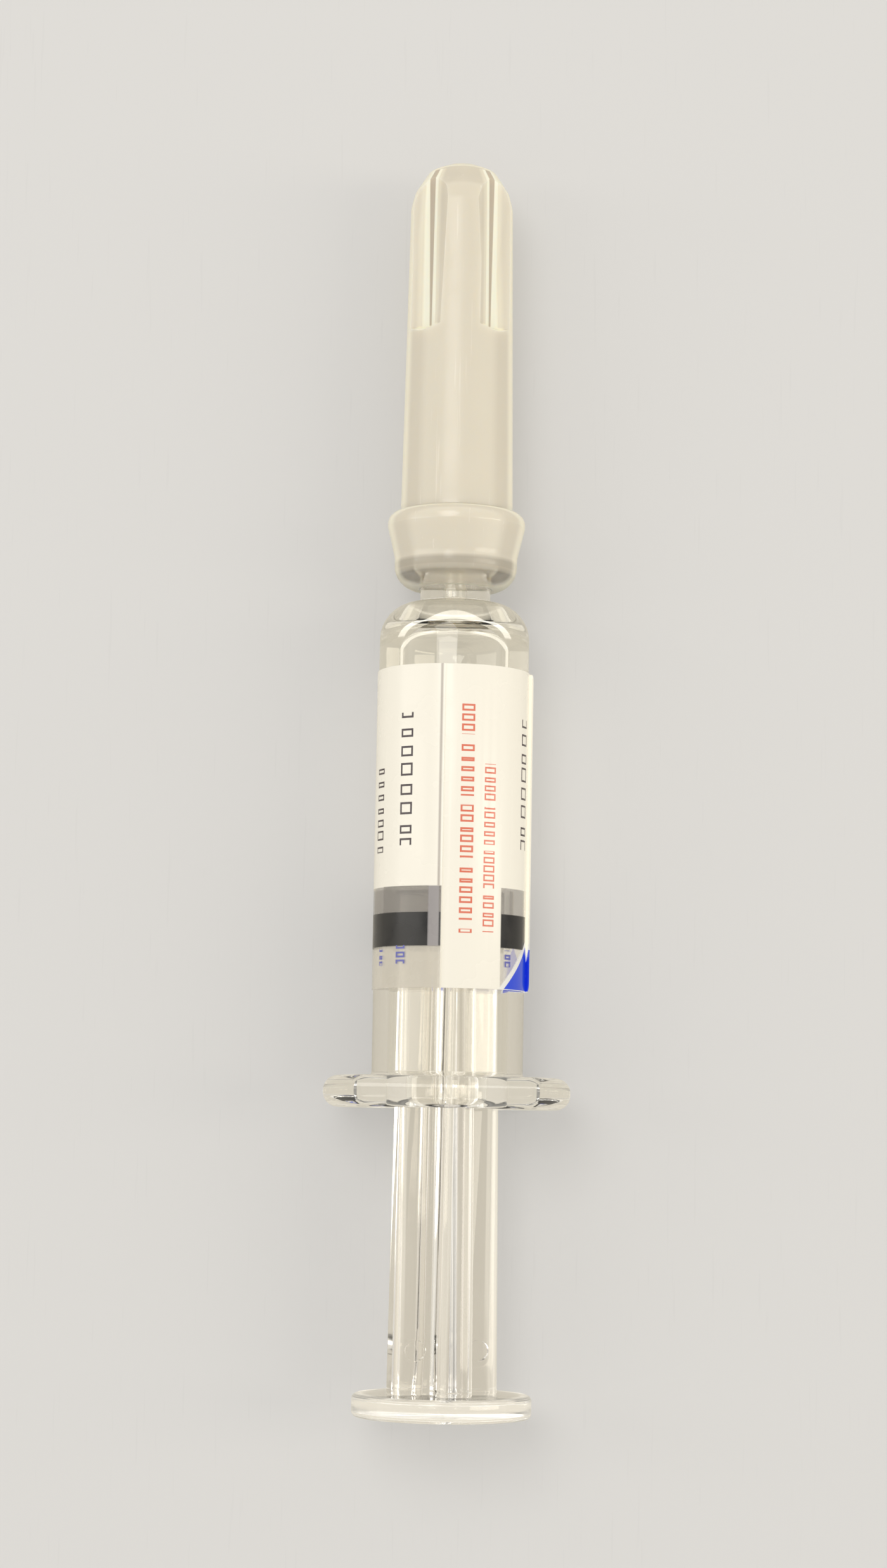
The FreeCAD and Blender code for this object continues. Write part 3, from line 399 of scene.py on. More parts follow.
class Effects:
    """Node groups that several finishes share."""

    def __init__(self) -> None:
        """Builds each group once."""
        self.place = self.build_place()
        self.band = self.build_band()
        self.bars = self.build_bars()
        self.wear = self.build_wear()

    @staticmethod
    def build_place() -> bpy.types.NodeTree:
        """Gives a point's place along the axis, its angle from the top and its distance from the axis."""
        recipe, _, result = new_group("syringe_place", {}, ("Along", "Angle", "Reach"))
        coordinates = recipe.node("ShaderNodeTexCoord").outputs["Object"]
        x, y, z = recipe.feed(recipe.node("ShaderNodeSeparateXYZ"), Vector=coordinates).outputs
        height = recipe.math("SUBTRACT", z, AXIS_HEIGHT)
        squares = recipe.math("ADD", recipe.math("POWER", x, 2.0), recipe.math("POWER", height, 2.0))
        recipe.feed(result, Along=recipe.math("DIVIDE", recipe.math("SUBTRACT", y, FLANGE_REAR), MM),
                    Angle=recipe.math("DEGREES", recipe.math("ARCTAN2", x, height)),
                    Reach=recipe.math("DIVIDE", recipe.math("SQRT", squares), MM))
        return recipe.tree

    @staticmethod
    def build_band() -> bpy.types.NodeTree:
        """Gives 1 where a value lies between two limits, with soft edges."""
        recipe, given, result = new_group(
            "band", {"Value": 0.0, "From": 0.0, "To": 1.0, "Edge": 0.05}, ("Mask",))
        rise, fall = (recipe.math("DIVIDE", recipe.math("SUBTRACT", given[high], given[low]), given["Edge"])
                      for high, low in (("Value", "From"), ("To", "Value")))
        both = recipe.math("ADD", recipe.math("MINIMUM", rise, fall), 0.5)
        recipe.feed(result, Mask=recipe.feed(recipe.node("ShaderNodeClamp"), Value=both).outputs[0])
        return recipe.tree

    @staticmethod
    def build_bars() -> bpy.types.NodeTree:
        """Gives a row of plain boxes of uneven length, drawn as strokes, that stands for a line of print."""
        seed_step, shortest, half = 1.37, 0.4, 0.31
        recipe, given, result = new_group("print_bars", {
            "Along": 0.0, "Across": 0.0, "Pitch": 1.4, "Seed": 0.0, "Stroke": 0.15, "Stroke Across": 0.1},
            ("Mask",))
        cell = recipe.math("DIVIDE", given["Along"], given["Pitch"])
        within = recipe.math("FRACT", cell)
        seeded = recipe.math("ADD", recipe.product(recipe.math("FLOOR", cell), seed_step), given["Seed"])
        noise = recipe.feed(recipe.node("ShaderNodeTexWhiteNoise", noise_dimensions="1D"), W=seeded)
        length = recipe.math("ADD", recipe.product(noise.outputs["Value"], shortest), shortest)
        offset = recipe.math("ABSOLUTE", recipe.math("SUBTRACT", given["Across"], 0.5))
        box = recipe.product(recipe.math("LESS_THAN", within, length),
                             recipe.math("LESS_THAN", offset, half))
        inside = recipe.product(
            recipe.math("GREATER_THAN", within, given["Stroke"]),
            recipe.math("LESS_THAN", within, recipe.math("SUBTRACT", length, given["Stroke"])),
            recipe.math("LESS_THAN", offset, recipe.math("SUBTRACT", half, given["Stroke Across"])))
        recipe.feed(result, Mask=recipe.product(box, recipe.math("SUBTRACT", 1.0, inside)))
        return recipe.tree

    @staticmethod
    def build_wear() -> bpy.types.NodeTree:
        """Gives faint smudges, fine scratches along the axis and a shallow ripple."""
        stretch, streak_scale, depth = (1.0, 0.03, 1.0), 4.0, 0.1 * MM
        smudge_from, smudge_to, scratch_from, scratch_to = 0.45, 0.7, 0.66, 0.72
        recipe, given, result = new_group(
            "handling", {"Smudge Size": 3.0, "Ripple": 0.02}, ("Smudge", "Scratch"), ("Normal",))
        spot = recipe.feed(recipe.node("ShaderNodeVectorMath", operation="SCALE"), Scale=1.0 / MM,
                           Vector=recipe.node("ShaderNodeTexCoord").outputs["Object"]).outputs[0]
        smudge = recipe.feed(recipe.node("ShaderNodeTexNoise"), Vector=spot, Detail=3.0,
                             Scale=recipe.math("DIVIDE", 1.0, given["Smudge Size"])).outputs["Fac"]
        patches = recipe.feed(recipe.node("ShaderNodeMapRange", interpolation_type="SMOOTHSTEP"),
                              Value=smudge, From_Min=smudge_from, From_Max=smudge_to)
        stretched = recipe.feed(recipe.node("ShaderNodeMapping"), Scale=stretch, Vector=spot).outputs[0]
        streaks = recipe.feed(recipe.node("ShaderNodeTexNoise"), Vector=stretched, Scale=streak_scale)
        lines = recipe.feed(recipe.node("ShaderNodeMapRange"), Value=streaks.outputs["Fac"],
                            From_Min=scratch_from, From_Max=scratch_to)
        bump = recipe.feed(recipe.node("ShaderNodeBump"), Distance=depth, Strength=given["Ripple"],
                           Height=smudge)
        recipe.feed(result, Smudge=patches.outputs["Result"], Scratch=lines.outputs["Result"],
                    Normal=bump.outputs["Normal"])
        return recipe.tree


@dataclass(frozen=True)
class Finish:
    """A finish with handling marks: smudges in its gloss, fine scratches and a faint ripple.

    Args:
        name: the material's name.
        color: its main colour, linear.
        worn: its colour along the scratches.
        roughness: its roughness where it is clean.
        smudged: its roughness where it has been handled.
        index: its refractive index.
        clear: how much light passes through it, from 0 to 1.
        ripple: strength of the ripple.
        smudge_size: size of the smudges, in millimetres.
        metallic: 1 for bare metal.
    """

    name: str
    color: Color
    worn: Color
    roughness: float
    smudged: float
    index: float
    clear: float = 0.0
    ripple: float = 0.02
    smudge_size: float = 3.0
    metallic: float = 0.0

    def start(self, effects: Effects) -> tuple[bpy.types.Material, Recipe, Node, Node]:
        """Makes the material with its handling marks.

        Args:
            effects: the shared node groups.

        Returns:
            The material, its recipe, its shader and the node of the handling marks.
        """
        material = bpy.data.materials.new(self.name)
        material.use_nodes = True
        recipe = Recipe(material.node_tree, effects)
        shader = material.node_tree.nodes["Principled BSDF"]
        marks = recipe.group(effects.wear, Ripple=self.ripple, Smudge_Size=self.smudge_size)
        recipe.feed(shader, IOR=self.index, Transmission_Weight=self.clear, Metallic=self.metallic,
                    Roughness=recipe.blend(marks.outputs["Smudge"], self.roughness, self.smudged),
                    Base_Color=recipe.mix(marks.outputs["Scratch"], self.color, self.worn),
                    Normal=marks.outputs["Normal"])
        return material, recipe, shader, marks

    def make(self, effects: Effects) -> bpy.types.Material:
        """Makes the finished material."""
        return self.start(effects)[0]


@dataclass(frozen=True)
class ClearFinish(Finish):
    """Clear moulding: a painted glow lies on its rims, and a ray caught inside it ends as plain pale painted
    light.

    Args:
        rim_reach: distance from the axis beyond which its rims have the painted glow.
        rim_soft: how softly the rims' painted glow starts.
        rim_glow: how bright the rims' painted glow is.
        gathered: colour of the painted glow on the rims and lines, linear.
        caught: number of faces after which a ray counts as caught.
        pale: the plain painted light, linear.
    """

    rim_reach: float = 5.6
    rim_soft: float = 0.3
    rim_glow: float = 0.0
    gathered: Color = (1.0, 0.96, 0.86)
    caught: float = 8.0
    pale: Color = (0.66, 0.61, 0.5)

    def make(self, effects: Effects) -> bpy.types.Material:
        """Makes the clear material."""
        material, recipe, shader, _ = self.start(effects)
        _, angle, reach = recipe.place()
        # Painted glow: emission in the gathered colour on the rims and along the lines.
        rims = recipe.product(recipe.above(reach, self.rim_reach, self.rim_soft), self.rim_glow)
        glow = recipe.math("MAXIMUM", rims, self.lines(recipe, angle, reach))
        recipe.feed(shader, Emission_Color=recipe.mix(glow, BLACK, self.gathered), Emission_Strength=1.0)
        # Painted light: a ray caught past this many faces ends as plain pale light instead of going dark.
        depth = recipe.node("ShaderNodeLightPath").outputs["Ray Depth"]
        recipe.add_plain(shader, recipe.math("GREATER_THAN", depth, self.caught), self.pale)
        return material

    def lines(self, recipe: Recipe, angle: Socket, reach: Socket) -> object:
        """Gives the painted glow along bright lines, of which plain glass has none."""
        return 0.0


@dataclass(frozen=True)
class RodFinish(ClearFinish):
    """Clear moulding with a painted glow along its ribs' edges and roots.

    Args:
        roll: angle of its ribs from the top.
        rib: distance from the axis at which the ribs' outer edges start.
        rib_half: half a rib's thickness.
        edge: width of an edge with the painted glow.
        inset: how far the roots' painted glow starts inside the rib.
        soft: how softly the light starts and ends.
        edge_glow: how bright the painted glow on the edges is.
    """

    roll: float = 17.0
    rib: float = 3.2
    rib_half: float = 0.875
    edge: float = 0.3
    inset: float = 0.1
    soft: float = 0.08
    edge_glow: float = 0.14

    def lines(self, recipe: Recipe, angle: Socket, reach: Socket) -> Socket:
        """Gives the painted glow along the ribs' outer edges and roots.

        Args:
            recipe: the material's recipe.
            angle: the point's angle from the top.
            reach: its distance from the axis.

        Returns:
            The glow.
        """
        turn = recipe.math("RADIANS", recipe.math("SUBTRACT", angle, self.roll))
        up, side = (recipe.math("ABSOLUTE", recipe.product(recipe.math(wave, turn), reach))
                    for wave in ("COSINE", "SINE"))
        far = recipe.math("MAXIMUM", up, side)
        near = recipe.math("MINIMUM", up, side)
        end = self.rib_half + self.edge
        outer = recipe.product(recipe.band(far, self.rib, self.rib + 2 * self.edge, self.soft),
                               recipe.band(near, self.rib_half - self.edge, end, self.soft))
        root = recipe.product(*(recipe.band(value, self.rib_half - self.inset, end, self.soft)
                                for value in (far, near)))
        return recipe.product(recipe.math("MAXIMUM", outer, root), self.edge_glow)


@dataclass(frozen=True)
class LiquidFinish(ClearFinish):
    """Clear liquid with a painted glow along its edge round the air bubble.

    Args:
        level: height above the axis where the edge starts.
        crest: height above the axis where it ends.
        wall: distance from the axis where the glass starts.
        soft: how softly the light starts and ends.
        line_glow: how bright the edge's painted glow is.
    """

    level: float = 2.26
    crest: float = 2.8
    wall: float = 4.28
    soft: float = 0.04
    line_glow: float = 0.4

    def lines(self, recipe: Recipe, angle: Socket, reach: Socket) -> Socket:
        """Gives the painted glow along the climbing edge of the surface."""
        height = recipe.product(recipe.math("COSINE", recipe.math("RADIANS", angle)), reach)
        return recipe.product(recipe.band(height, self.level, self.crest, self.soft),
                              recipe.below(reach, self.wall, self.soft), self.line_glow)


@dataclass(frozen=True)
class ShieldFinish(Finish):
    """Soft milky moulding: light spreads inside it; the hollow under the collar is painted as a darker band.

    Args:
        hollow: painted darker band, partly the glass tip seen through the thin wall and partly painted shade
            of the hollow.
        hollow_shade_share: how much of that colour shows.
        rim: colour of the thin rim.
        bright: painted highlight colour of the flutes' walls and of the silhouette.
        silhouette_highlight_share: how much of that painted highlight shows at the silhouette.
        crease_shade: painted shade along the flutes' floors.
        shade: painted shade a little inside the silhouette.
        shade_share: how much of that colour shows.
        spread: how far light travels inside it, in millimetres.
        spread_color: how far red, green and blue light travel, as shares.
        hollow_span: start and end of the hollow in front of the rim.
        rim_end: end of the thin rim's colour.
        skirt_end: end of the clear skirt.
        gloss_end: end of the glossy collar.
        coat: gloss that the collar has more than the rest, and gloss of all.
        coat_rough: roughness of that gloss.
        shaded: where the painted shade starts and ends, from 0 where a face looks at the eye to 1 at its edge.
        lit: where the silhouette's painted highlight starts, counted likewise.
        skirt_clear: share of light that passes straight through the thin rim.
        hollow_clear: share that passes straight through above the hollow.
        flute_start: start of the flutes in front of the rim.
        crown: length of the tip's crown, which the flutes don't reach.
        wall_reach: distance from the axis below which a flute's wall lies.
        wall_angle: half the angle that a flute takes up.
        wall_share: how much of the painted highlight the whole wall shows.
        glow_angle: where the brightest part of the walls' painted highlight starts and ends.
        crease_top: half the angle of a flute's floor at the tip.
        crease_end: half the angle of a flute's floor at its lower end.
        runout: start and end of a flute's lower end with a painted highlight, counted from the flute's start.
        runout_lift: how much farther from the axis than the wall it lies.
        runout_share: how much of the painted highlight it shows.
    """

    hollow: Color = (0.45, 0.41, 0.35)
    hollow_shade_share: float = 0.5
    rim: Color = (0.85, 0.78, 0.64)
    bright: Color = (1.0, 0.96, 0.8)
    silhouette_highlight_share: float = 0.6
    crease_shade: Color = (0.58, 0.51, 0.42)
    shade: Color = (0.56, 0.51, 0.43)
    shade_share: float = 0.3
    spread: float = 1.2
    spread_color: Color = (1.0, 0.9, 0.75)
    hollow_span: Span = (1.2, 1.9)
    rim_end: float = 0.7
    skirt_end: float = 1.1
    gloss_end: float = 6.0
    coat: Span = (0.5, 0.08)
    coat_rough: float = 0.1
    shaded: Span = (0.28, 0.58)
    lit: float = 0.64
    skirt_clear: float = 0.78
    hollow_clear: float = 0.25
    flute_start: float = 19.05
    crown: float = 0.75
    wall_reach: float = 3.6
    wall_angle: float = 17.0
    wall_share: float = 0.35
    glow_angle: Span = (2.0, 11.0)
    crease_top: float = 5.5
    crease_end: float = 1.6
    runout: Span = (-0.3, 0.1)
    runout_lift: float = 0.2
    runout_share: float = 0.8

    def make(self, effects: Effects) -> bpy.types.Material:
        """Makes the milky material."""
        material, recipe, shader, marks = self.start(effects)
        distance, angle, reach = recipe.place()
        base = along(SHIELD_LOW.y)
        facing = recipe.node("ShaderNodeLayerWeight").outputs["Facing"]
        # The hollow's painted darker band: the glass tip seen through the thin wall, and painted shade of the
        # hollow.
        hollow = recipe.band(distance, base + self.hollow_span[0], base + self.hollow_span[1], 0.3)
        # Painted highlight along the silhouette, where the faces turn away from the eye.
        outer = recipe.product(recipe.above(facing, self.lit, 0.15), self.silhouette_highlight_share)
        color = recipe.mix(marks.outputs["Scratch"], self.color, self.worn)
        # Painted shade and painted highlight are layered over the colour, with the flutes' painted light and
        # shade last.
        layers = [
            (recipe.product(hollow, self.hollow_shade_share), self.hollow),
            (recipe.below(distance, base + self.rim_end, 0.5), self.rim),
            (recipe.product(recipe.band(facing, *self.shaded, 0.12), self.shade_share), self.shade),
            (outer, self.bright),
            *self.flute_layers(recipe, distance, angle, reach)]
        for share, ink in layers:
            color = recipe.mix(share, color, ink)
        glossy = recipe.below(distance, base + self.gloss_end, 0.4)
        skirt = recipe.below(distance, base + self.skirt_end, 0.4)
        thin = recipe.math("ADD", recipe.product(skirt, self.skirt_clear),
                           recipe.product(hollow, self.hollow_clear))
        thin = recipe.product(thin, recipe.math("SUBTRACT", 1.0, outer))
        recipe.feed(shader, Base_Color=color, Alpha=recipe.math("SUBTRACT", 1.0, thin),
                    Coat_Weight=recipe.math("ADD", recipe.product(glossy, self.coat[0]), self.coat[1]),
                    Coat_Roughness=self.coat_rough, Subsurface_Weight=1.0,
                    Subsurface_Radius=self.spread_color, Subsurface_Scale=self.spread * MM)
        return material

    def flute_layers(self, recipe: Recipe, distance: Socket, angle: Socket, reach: Socket
                     ) -> list[tuple[object, Color]]:
        """Paints highlights on the flutes' walls and ends and paints shade along their floors.

        Args:
            recipe: the material's recipe.
            distance: the point's place along the axis.
            angle: its angle from the top.
            reach: its distance from the axis.

        Returns:
            The layers as shares and colours.
        """
        start = along(SHIELD_LOW.y) + self.flute_start
        end = along(SHIELD_HIGH.y) - self.crown
        quarter = recipe.math("MODULO", recipe.math("ABSOLUTE", angle), 90.0)
        offset = recipe.math("ABSOLUTE", recipe.math("SUBTRACT", quarter, 45.0))
        fluted = recipe.band(distance, start, end, 0.05)
        gather = recipe.below(offset, self.wall_angle, 5.0)
        wall = recipe.product(fluted, recipe.below(reach, self.wall_reach, 0.12), gather)
        run = recipe.math("DIVIDE", recipe.math("SUBTRACT", distance, start), end - start)
        width = recipe.math("ADD", recipe.product(run, self.crease_top - self.crease_end), self.crease_end)
        ending = recipe.product(recipe.band(distance, start + self.runout[0], start + self.runout[1], 0.1),
                                recipe.below(reach, self.wall_reach + self.runout_lift, 0.05), gather)
        return [
            (recipe.product(wall, self.wall_share), self.bright),
            (recipe.product(wall, recipe.band(offset, *self.glow_angle, 2.5)), self.bright),
            (recipe.product(fluted, recipe.below(offset, width, 0.9)), self.crease_shade),
            (recipe.product(ending, self.runout_share), self.bright)]


@dataclass(frozen=True)
class Patch:
    """One printed field of the label.

    Args:
        color: its colour, linear.
        cover: how opaque it is, from 0 to 1.
        place: its start and end along the barrel.
        angle: its start and end round the barrel, from the top.
    """

    color: Color
    cover: float
    place: Span
    angle: Span


@dataclass(frozen=True)
class PrintRow:
    """One lengthwise row of plain printed boxes.

    Args:
        color: its colour, linear.
        place: its start and end along the barrel.
        angle: its start and end round the barrel, from the top.
        pitch: length of a box and its gap.
        seed: picks the boxes' lengths.
        stroke: width of the boxes' lines.
        group: length of a group of boxes and its gap, 0 where there are no groups.
    """

    color: Color
    place: Span
    angle: Span
    pitch: float
    seed: float
    stroke: float
    group: float = 0.0


@dataclass(frozen=True)
class LabelFinish(Finish):
    """Clear film with fields of white, black and blue ink and rows of plain boxes, and a painted shadow and
    glow.

    Args:
        film_cover: how much the bare film hides.
        inner_reach: distance from the axis below which the face on the glass lies.
        inner_glow: share of its colour that glows as painted light on the face on the glass, for light through
            the thin ink.
        tab_angle: start and end of the part round the tab that glows as painted light.
        tab_glow: share of its colour that glows there as painted light.
        patches: printed fields, later ones on top.
        rows: rows of boxes.
        group_fill: how much of a group's length its boxes take up.
        mark_color: colour of the triangle.
        mark_place: the triangle's base and apex along the barrel.
        mark_angle: the triangle's middle and half width round the barrel.
        mark_border: width of the triangle's border, in degrees.
        border_color: colour of the border.
        soiled: share of the worn colour in the smudges.
    """

    film_cover: float = 0.1
    inner_reach: float = 5.45
    inner_glow: float = 0.45
    tab_angle: Span = (82.0, 106.0)
    tab_glow: float = 0.22
    patches: tuple[Patch, ...] = ()
    rows: tuple[PrintRow, ...] = ()
    group_fill: float = 0.86
    mark_color: Color = (0.02, 0.07, 0.75)
    mark_place: Span = (8.45, 11.6)
    mark_angle: Span = (79.0, 34.0)
    mark_border: float = 5.0
    border_color: Color = (0.86, 0.86, 0.85)
    soiled: float = 0.02

    def make(self, effects: Effects) -> bpy.types.Material:
        """Makes the printed film."""
        material, recipe, shader, marks = self.start(effects)
        distance, angle, reach = recipe.place()
        layers = [(self.field(recipe, distance, angle, patch), patch.color, patch.cover)
                  for patch in self.patches]
        layers += [(self.boxes(recipe, distance, angle, row), row.color, 1.0) for row in self.rows]
        layers += [(self.triangle(recipe, distance, angle, border), ink, 1.0)
                   for border, ink in ((self.mark_border, self.border_color), (0.0, self.mark_color))]
        color: object = self.color
        cover: object = self.film_cover
        for mask, ink, hiding in layers:
            color = recipe.mix(mask, color, ink)
            cover = recipe.blend(mask, cover, hiding)
        color = recipe.mix(recipe.product(marks.outputs["Smudge"], self.soiled), color, self.worn)
        # Painted light: the face on the glass and the part round the tab glow in the label's colour.
        inner = recipe.product(recipe.below(reach, self.inner_reach, 0.02), self.inner_glow)
        tab = recipe.product(recipe.band(angle, *self.tab_angle, 2.0), self.tab_glow)
        glow = recipe.mix(recipe.math("MAXIMUM", inner, tab), BLACK, color)
        recipe.feed(shader, Base_Color=color, Alpha=cover, Emission_Color=glow, Emission_Strength=1.0)
        return material

    @staticmethod
    def field(recipe: Recipe, distance: Socket, angle: Socket, patch: Patch | PrintRow) -> Socket:
        """Gives 1 inside a printed field or a row's limits."""
        return recipe.product(recipe.band(distance, *patch.place, 0.06),
                              recipe.band(angle, *patch.angle, 1.0))

    def boxes(self, recipe: Recipe, distance: Socket, angle: Socket, row: PrintRow) -> Socket:
        """Gives 1 on the boxes of a row."""
        width = row.angle[1] - row.angle[0]
        breadth = math.radians(width) * (LABEL_HIGH.z - AXIS_HEIGHT) / MM
        across = recipe.math("DIVIDE", recipe.math("SUBTRACT", angle, row.angle[0]), width)
        bars = recipe.group(recipe.effects.bars, Along=distance, Across=across, Pitch=row.pitch,
                            Seed=row.seed, Stroke=row.stroke / row.pitch,
                            Stroke_Across=row.stroke / breadth)
        mask = recipe.product(self.field(recipe, distance, angle, row), bars.outputs[0])
        if row.group:
            part = recipe.math("FRACT", recipe.math("DIVIDE", distance, row.group))
            mask = recipe.product(mask, recipe.band(part, 0.0, self.group_fill, 0.02))
        return mask

    def triangle(self, recipe: Recipe, distance: Socket, angle: Socket, border: float) -> Socket:
        """Gives 1 inside the triangle, grown by a border."""
        base, apex = self.mark_place
        middle, half = self.mark_angle
        left = recipe.math("DIVIDE", recipe.math("SUBTRACT", apex, distance), apex - base)
        width = recipe.math("ADD", recipe.product(left, half), border)
        offset = recipe.math("ABSOLUTE", recipe.math("SUBTRACT", angle, middle))
        growth = border * (apex - base) / half
        return recipe.product(recipe.math("LESS_THAN", offset, width),
                              recipe.band(distance, base - growth, apex + growth, 0.02))


@dataclass
class GlassBarrel:
    """Formed glass tube with a cut flange, a round shoulder and a bulbed tip."""

    outside: float = 5.425
    bore: float = 4.325
    flange_reach: float = 8.875
    flat_reach: float = 6.0
    rim: float = 2.25
    web: float = 1.85
    dish: float = 7.6
    dish_round: float = 0.3
    edge_round: float = 1.05
    root_round: float = 0.5
    mouth_round: float = 0.7
    shoulder_top: float = 36.55
    shoulder_round: float = 2.65
    flat_lean: float = 0.5
    flat_foot: float = 0.01
    tip: Outline = (
        Corner(2.55, 36.55, 0.225), Corner(2.55, 37.575), Corner(2.2, 38.85, 0.6), Corner(2.5, 40.75, 0.8),
        Corner(2.5, 42.15, 0.8), Corner(2.05, 46.15, 0.4), Corner(0.8, 46.15, 0.1))
    channel: Outline = (
        Corner(0.29, 45.35), Corner(0.29, 39.65), Corner(0.55, 39.39), Corner(0.55, 36.2, 0.3),
        Corner(2.9, 34.6, 0.5), Corner(4.325, 34.6, 1.3))

    def build(self) -> Piece:
        """Turns the tube and flattens two sides of its flange."""
        rear = (self.rim - self.web) / 2
        piece = turned("barrel_glass", [
            Corner(self.bore, rear, self.mouth_round),
            Corner(self.dish, 0.0, self.dish_round),
            Corner(self.flange_reach, 0.0, self.edge_round),
            Corner(self.flange_reach, self.rim, self.edge_round),
            Corner(self.dish, self.rim, self.dish_round),
            Corner(self.outside, rear + self.web, self.root_round),
            Corner(self.outside, self.shoulder_top, self.shoulder_round),
            *self.tip,
            *self.channel])
        self.flatten(piece)
        return smooth(piece)

    def flatten(self, piece: Piece) -> None:
        """Flattens each ring of the flange towards the two cut sides."""
        edit(piece)
        foot = self.outside + self.flat_foot
        rings = sorted({round(distance_from_axis(vertex.co), 3)
                        for vertex in bmesh.from_edit_mesh(piece.data).verts
                        if along(vertex.co.y) < self.rim + self.root_round
                        and distance_from_axis(vertex.co) > foot})
        web_reach = self.flange_reach - self.edge_round
        web_level = self.flat_reach - self.edge_round * self.flat_lean
        for ring in rings:
            if ring >= web_reach:
                level = self.flat_reach - (self.flange_reach - ring) * self.flat_lean
            else:
                share = (ring - self.outside) / (web_reach - self.outside)
                level = foot + (web_level - foot) * share
            for side in (1, -1):
                if pick("VERT", lambda spot: along(spot.y) < self.rim + self.root_round
                        and abs(distance_from_axis(spot) - ring) < MERGE / MM
                        and side * (spot.z - AXIS_HEIGHT) > level * MM):
                    bpy.ops.transform.resize(
                        value=(1, 1, 0), center_override=(0, 0, AXIS_HEIGHT + side * level * MM))
        leave()


@dataclass
class NeedleUnit:
    """Steel needle with a slanted point, and the adhesive that holds it in the glass."""

    outside: float = 0.25
    bore: float = 0.13
    start: float = 39.75
    bevel: float = 15.0
    side_grind: float = 1.6
    grind_width: float = 1.0
    point_width: float = 0.06
    bead: Outline = (
        Corner(0.25, 40.0), Corner(0.29, 40.0), Corner(0.29, 45.35), Corner(0.79, 46.15, 0.1),
        Corner(0.37, 46.4, 0.1), Corner(0.25, 46.52))

    def build_needle(self) -> Piece:
        """Turns the tube and cuts its point by three planes."""
        end = along(NEEDLE_HIGH.y)
        piece = turned("steel_needle", [
            Corner(self.outside, self.start, 0.03), Corner(self.outside, end),
            Corner(self.bore, end), Corner(self.bore, self.start, 0.02)], segments=48)
        slope = math.radians(self.bevel)
        tip = spot_at(0, end, -self.outside)
        self.slice(piece, tip, Vector((0, math.sin(slope), math.cos(slope))))
        run = (self.grind_width - self.point_width) / 2
        for side in (-1, 1):
            edge = tip + Vector((side * self.point_width / 2 * MM, 0, 0))
            self.slice(piece, edge, Vector((side * self.side_grind, run, 0)).normalized())
        return smooth(piece, 30.0)

    @staticmethod
    def slice(piece: Piece, spot: Vector, normal: Vector) -> None:
        """Cuts away all that lies beyond a plane, and closes the cut."""
        edit(piece)
        bpy.ops.mesh.bisect(plane_co=spot, plane_no=normal, use_fill=True, clear_outer=True)
        leave()
        close_up(piece)

    def build_adhesive(self) -> Piece:
        """Turns the adhesive's sleeve and its raised bead."""
        return smooth(turned("adhesive_bead", self.bead, segments=64))


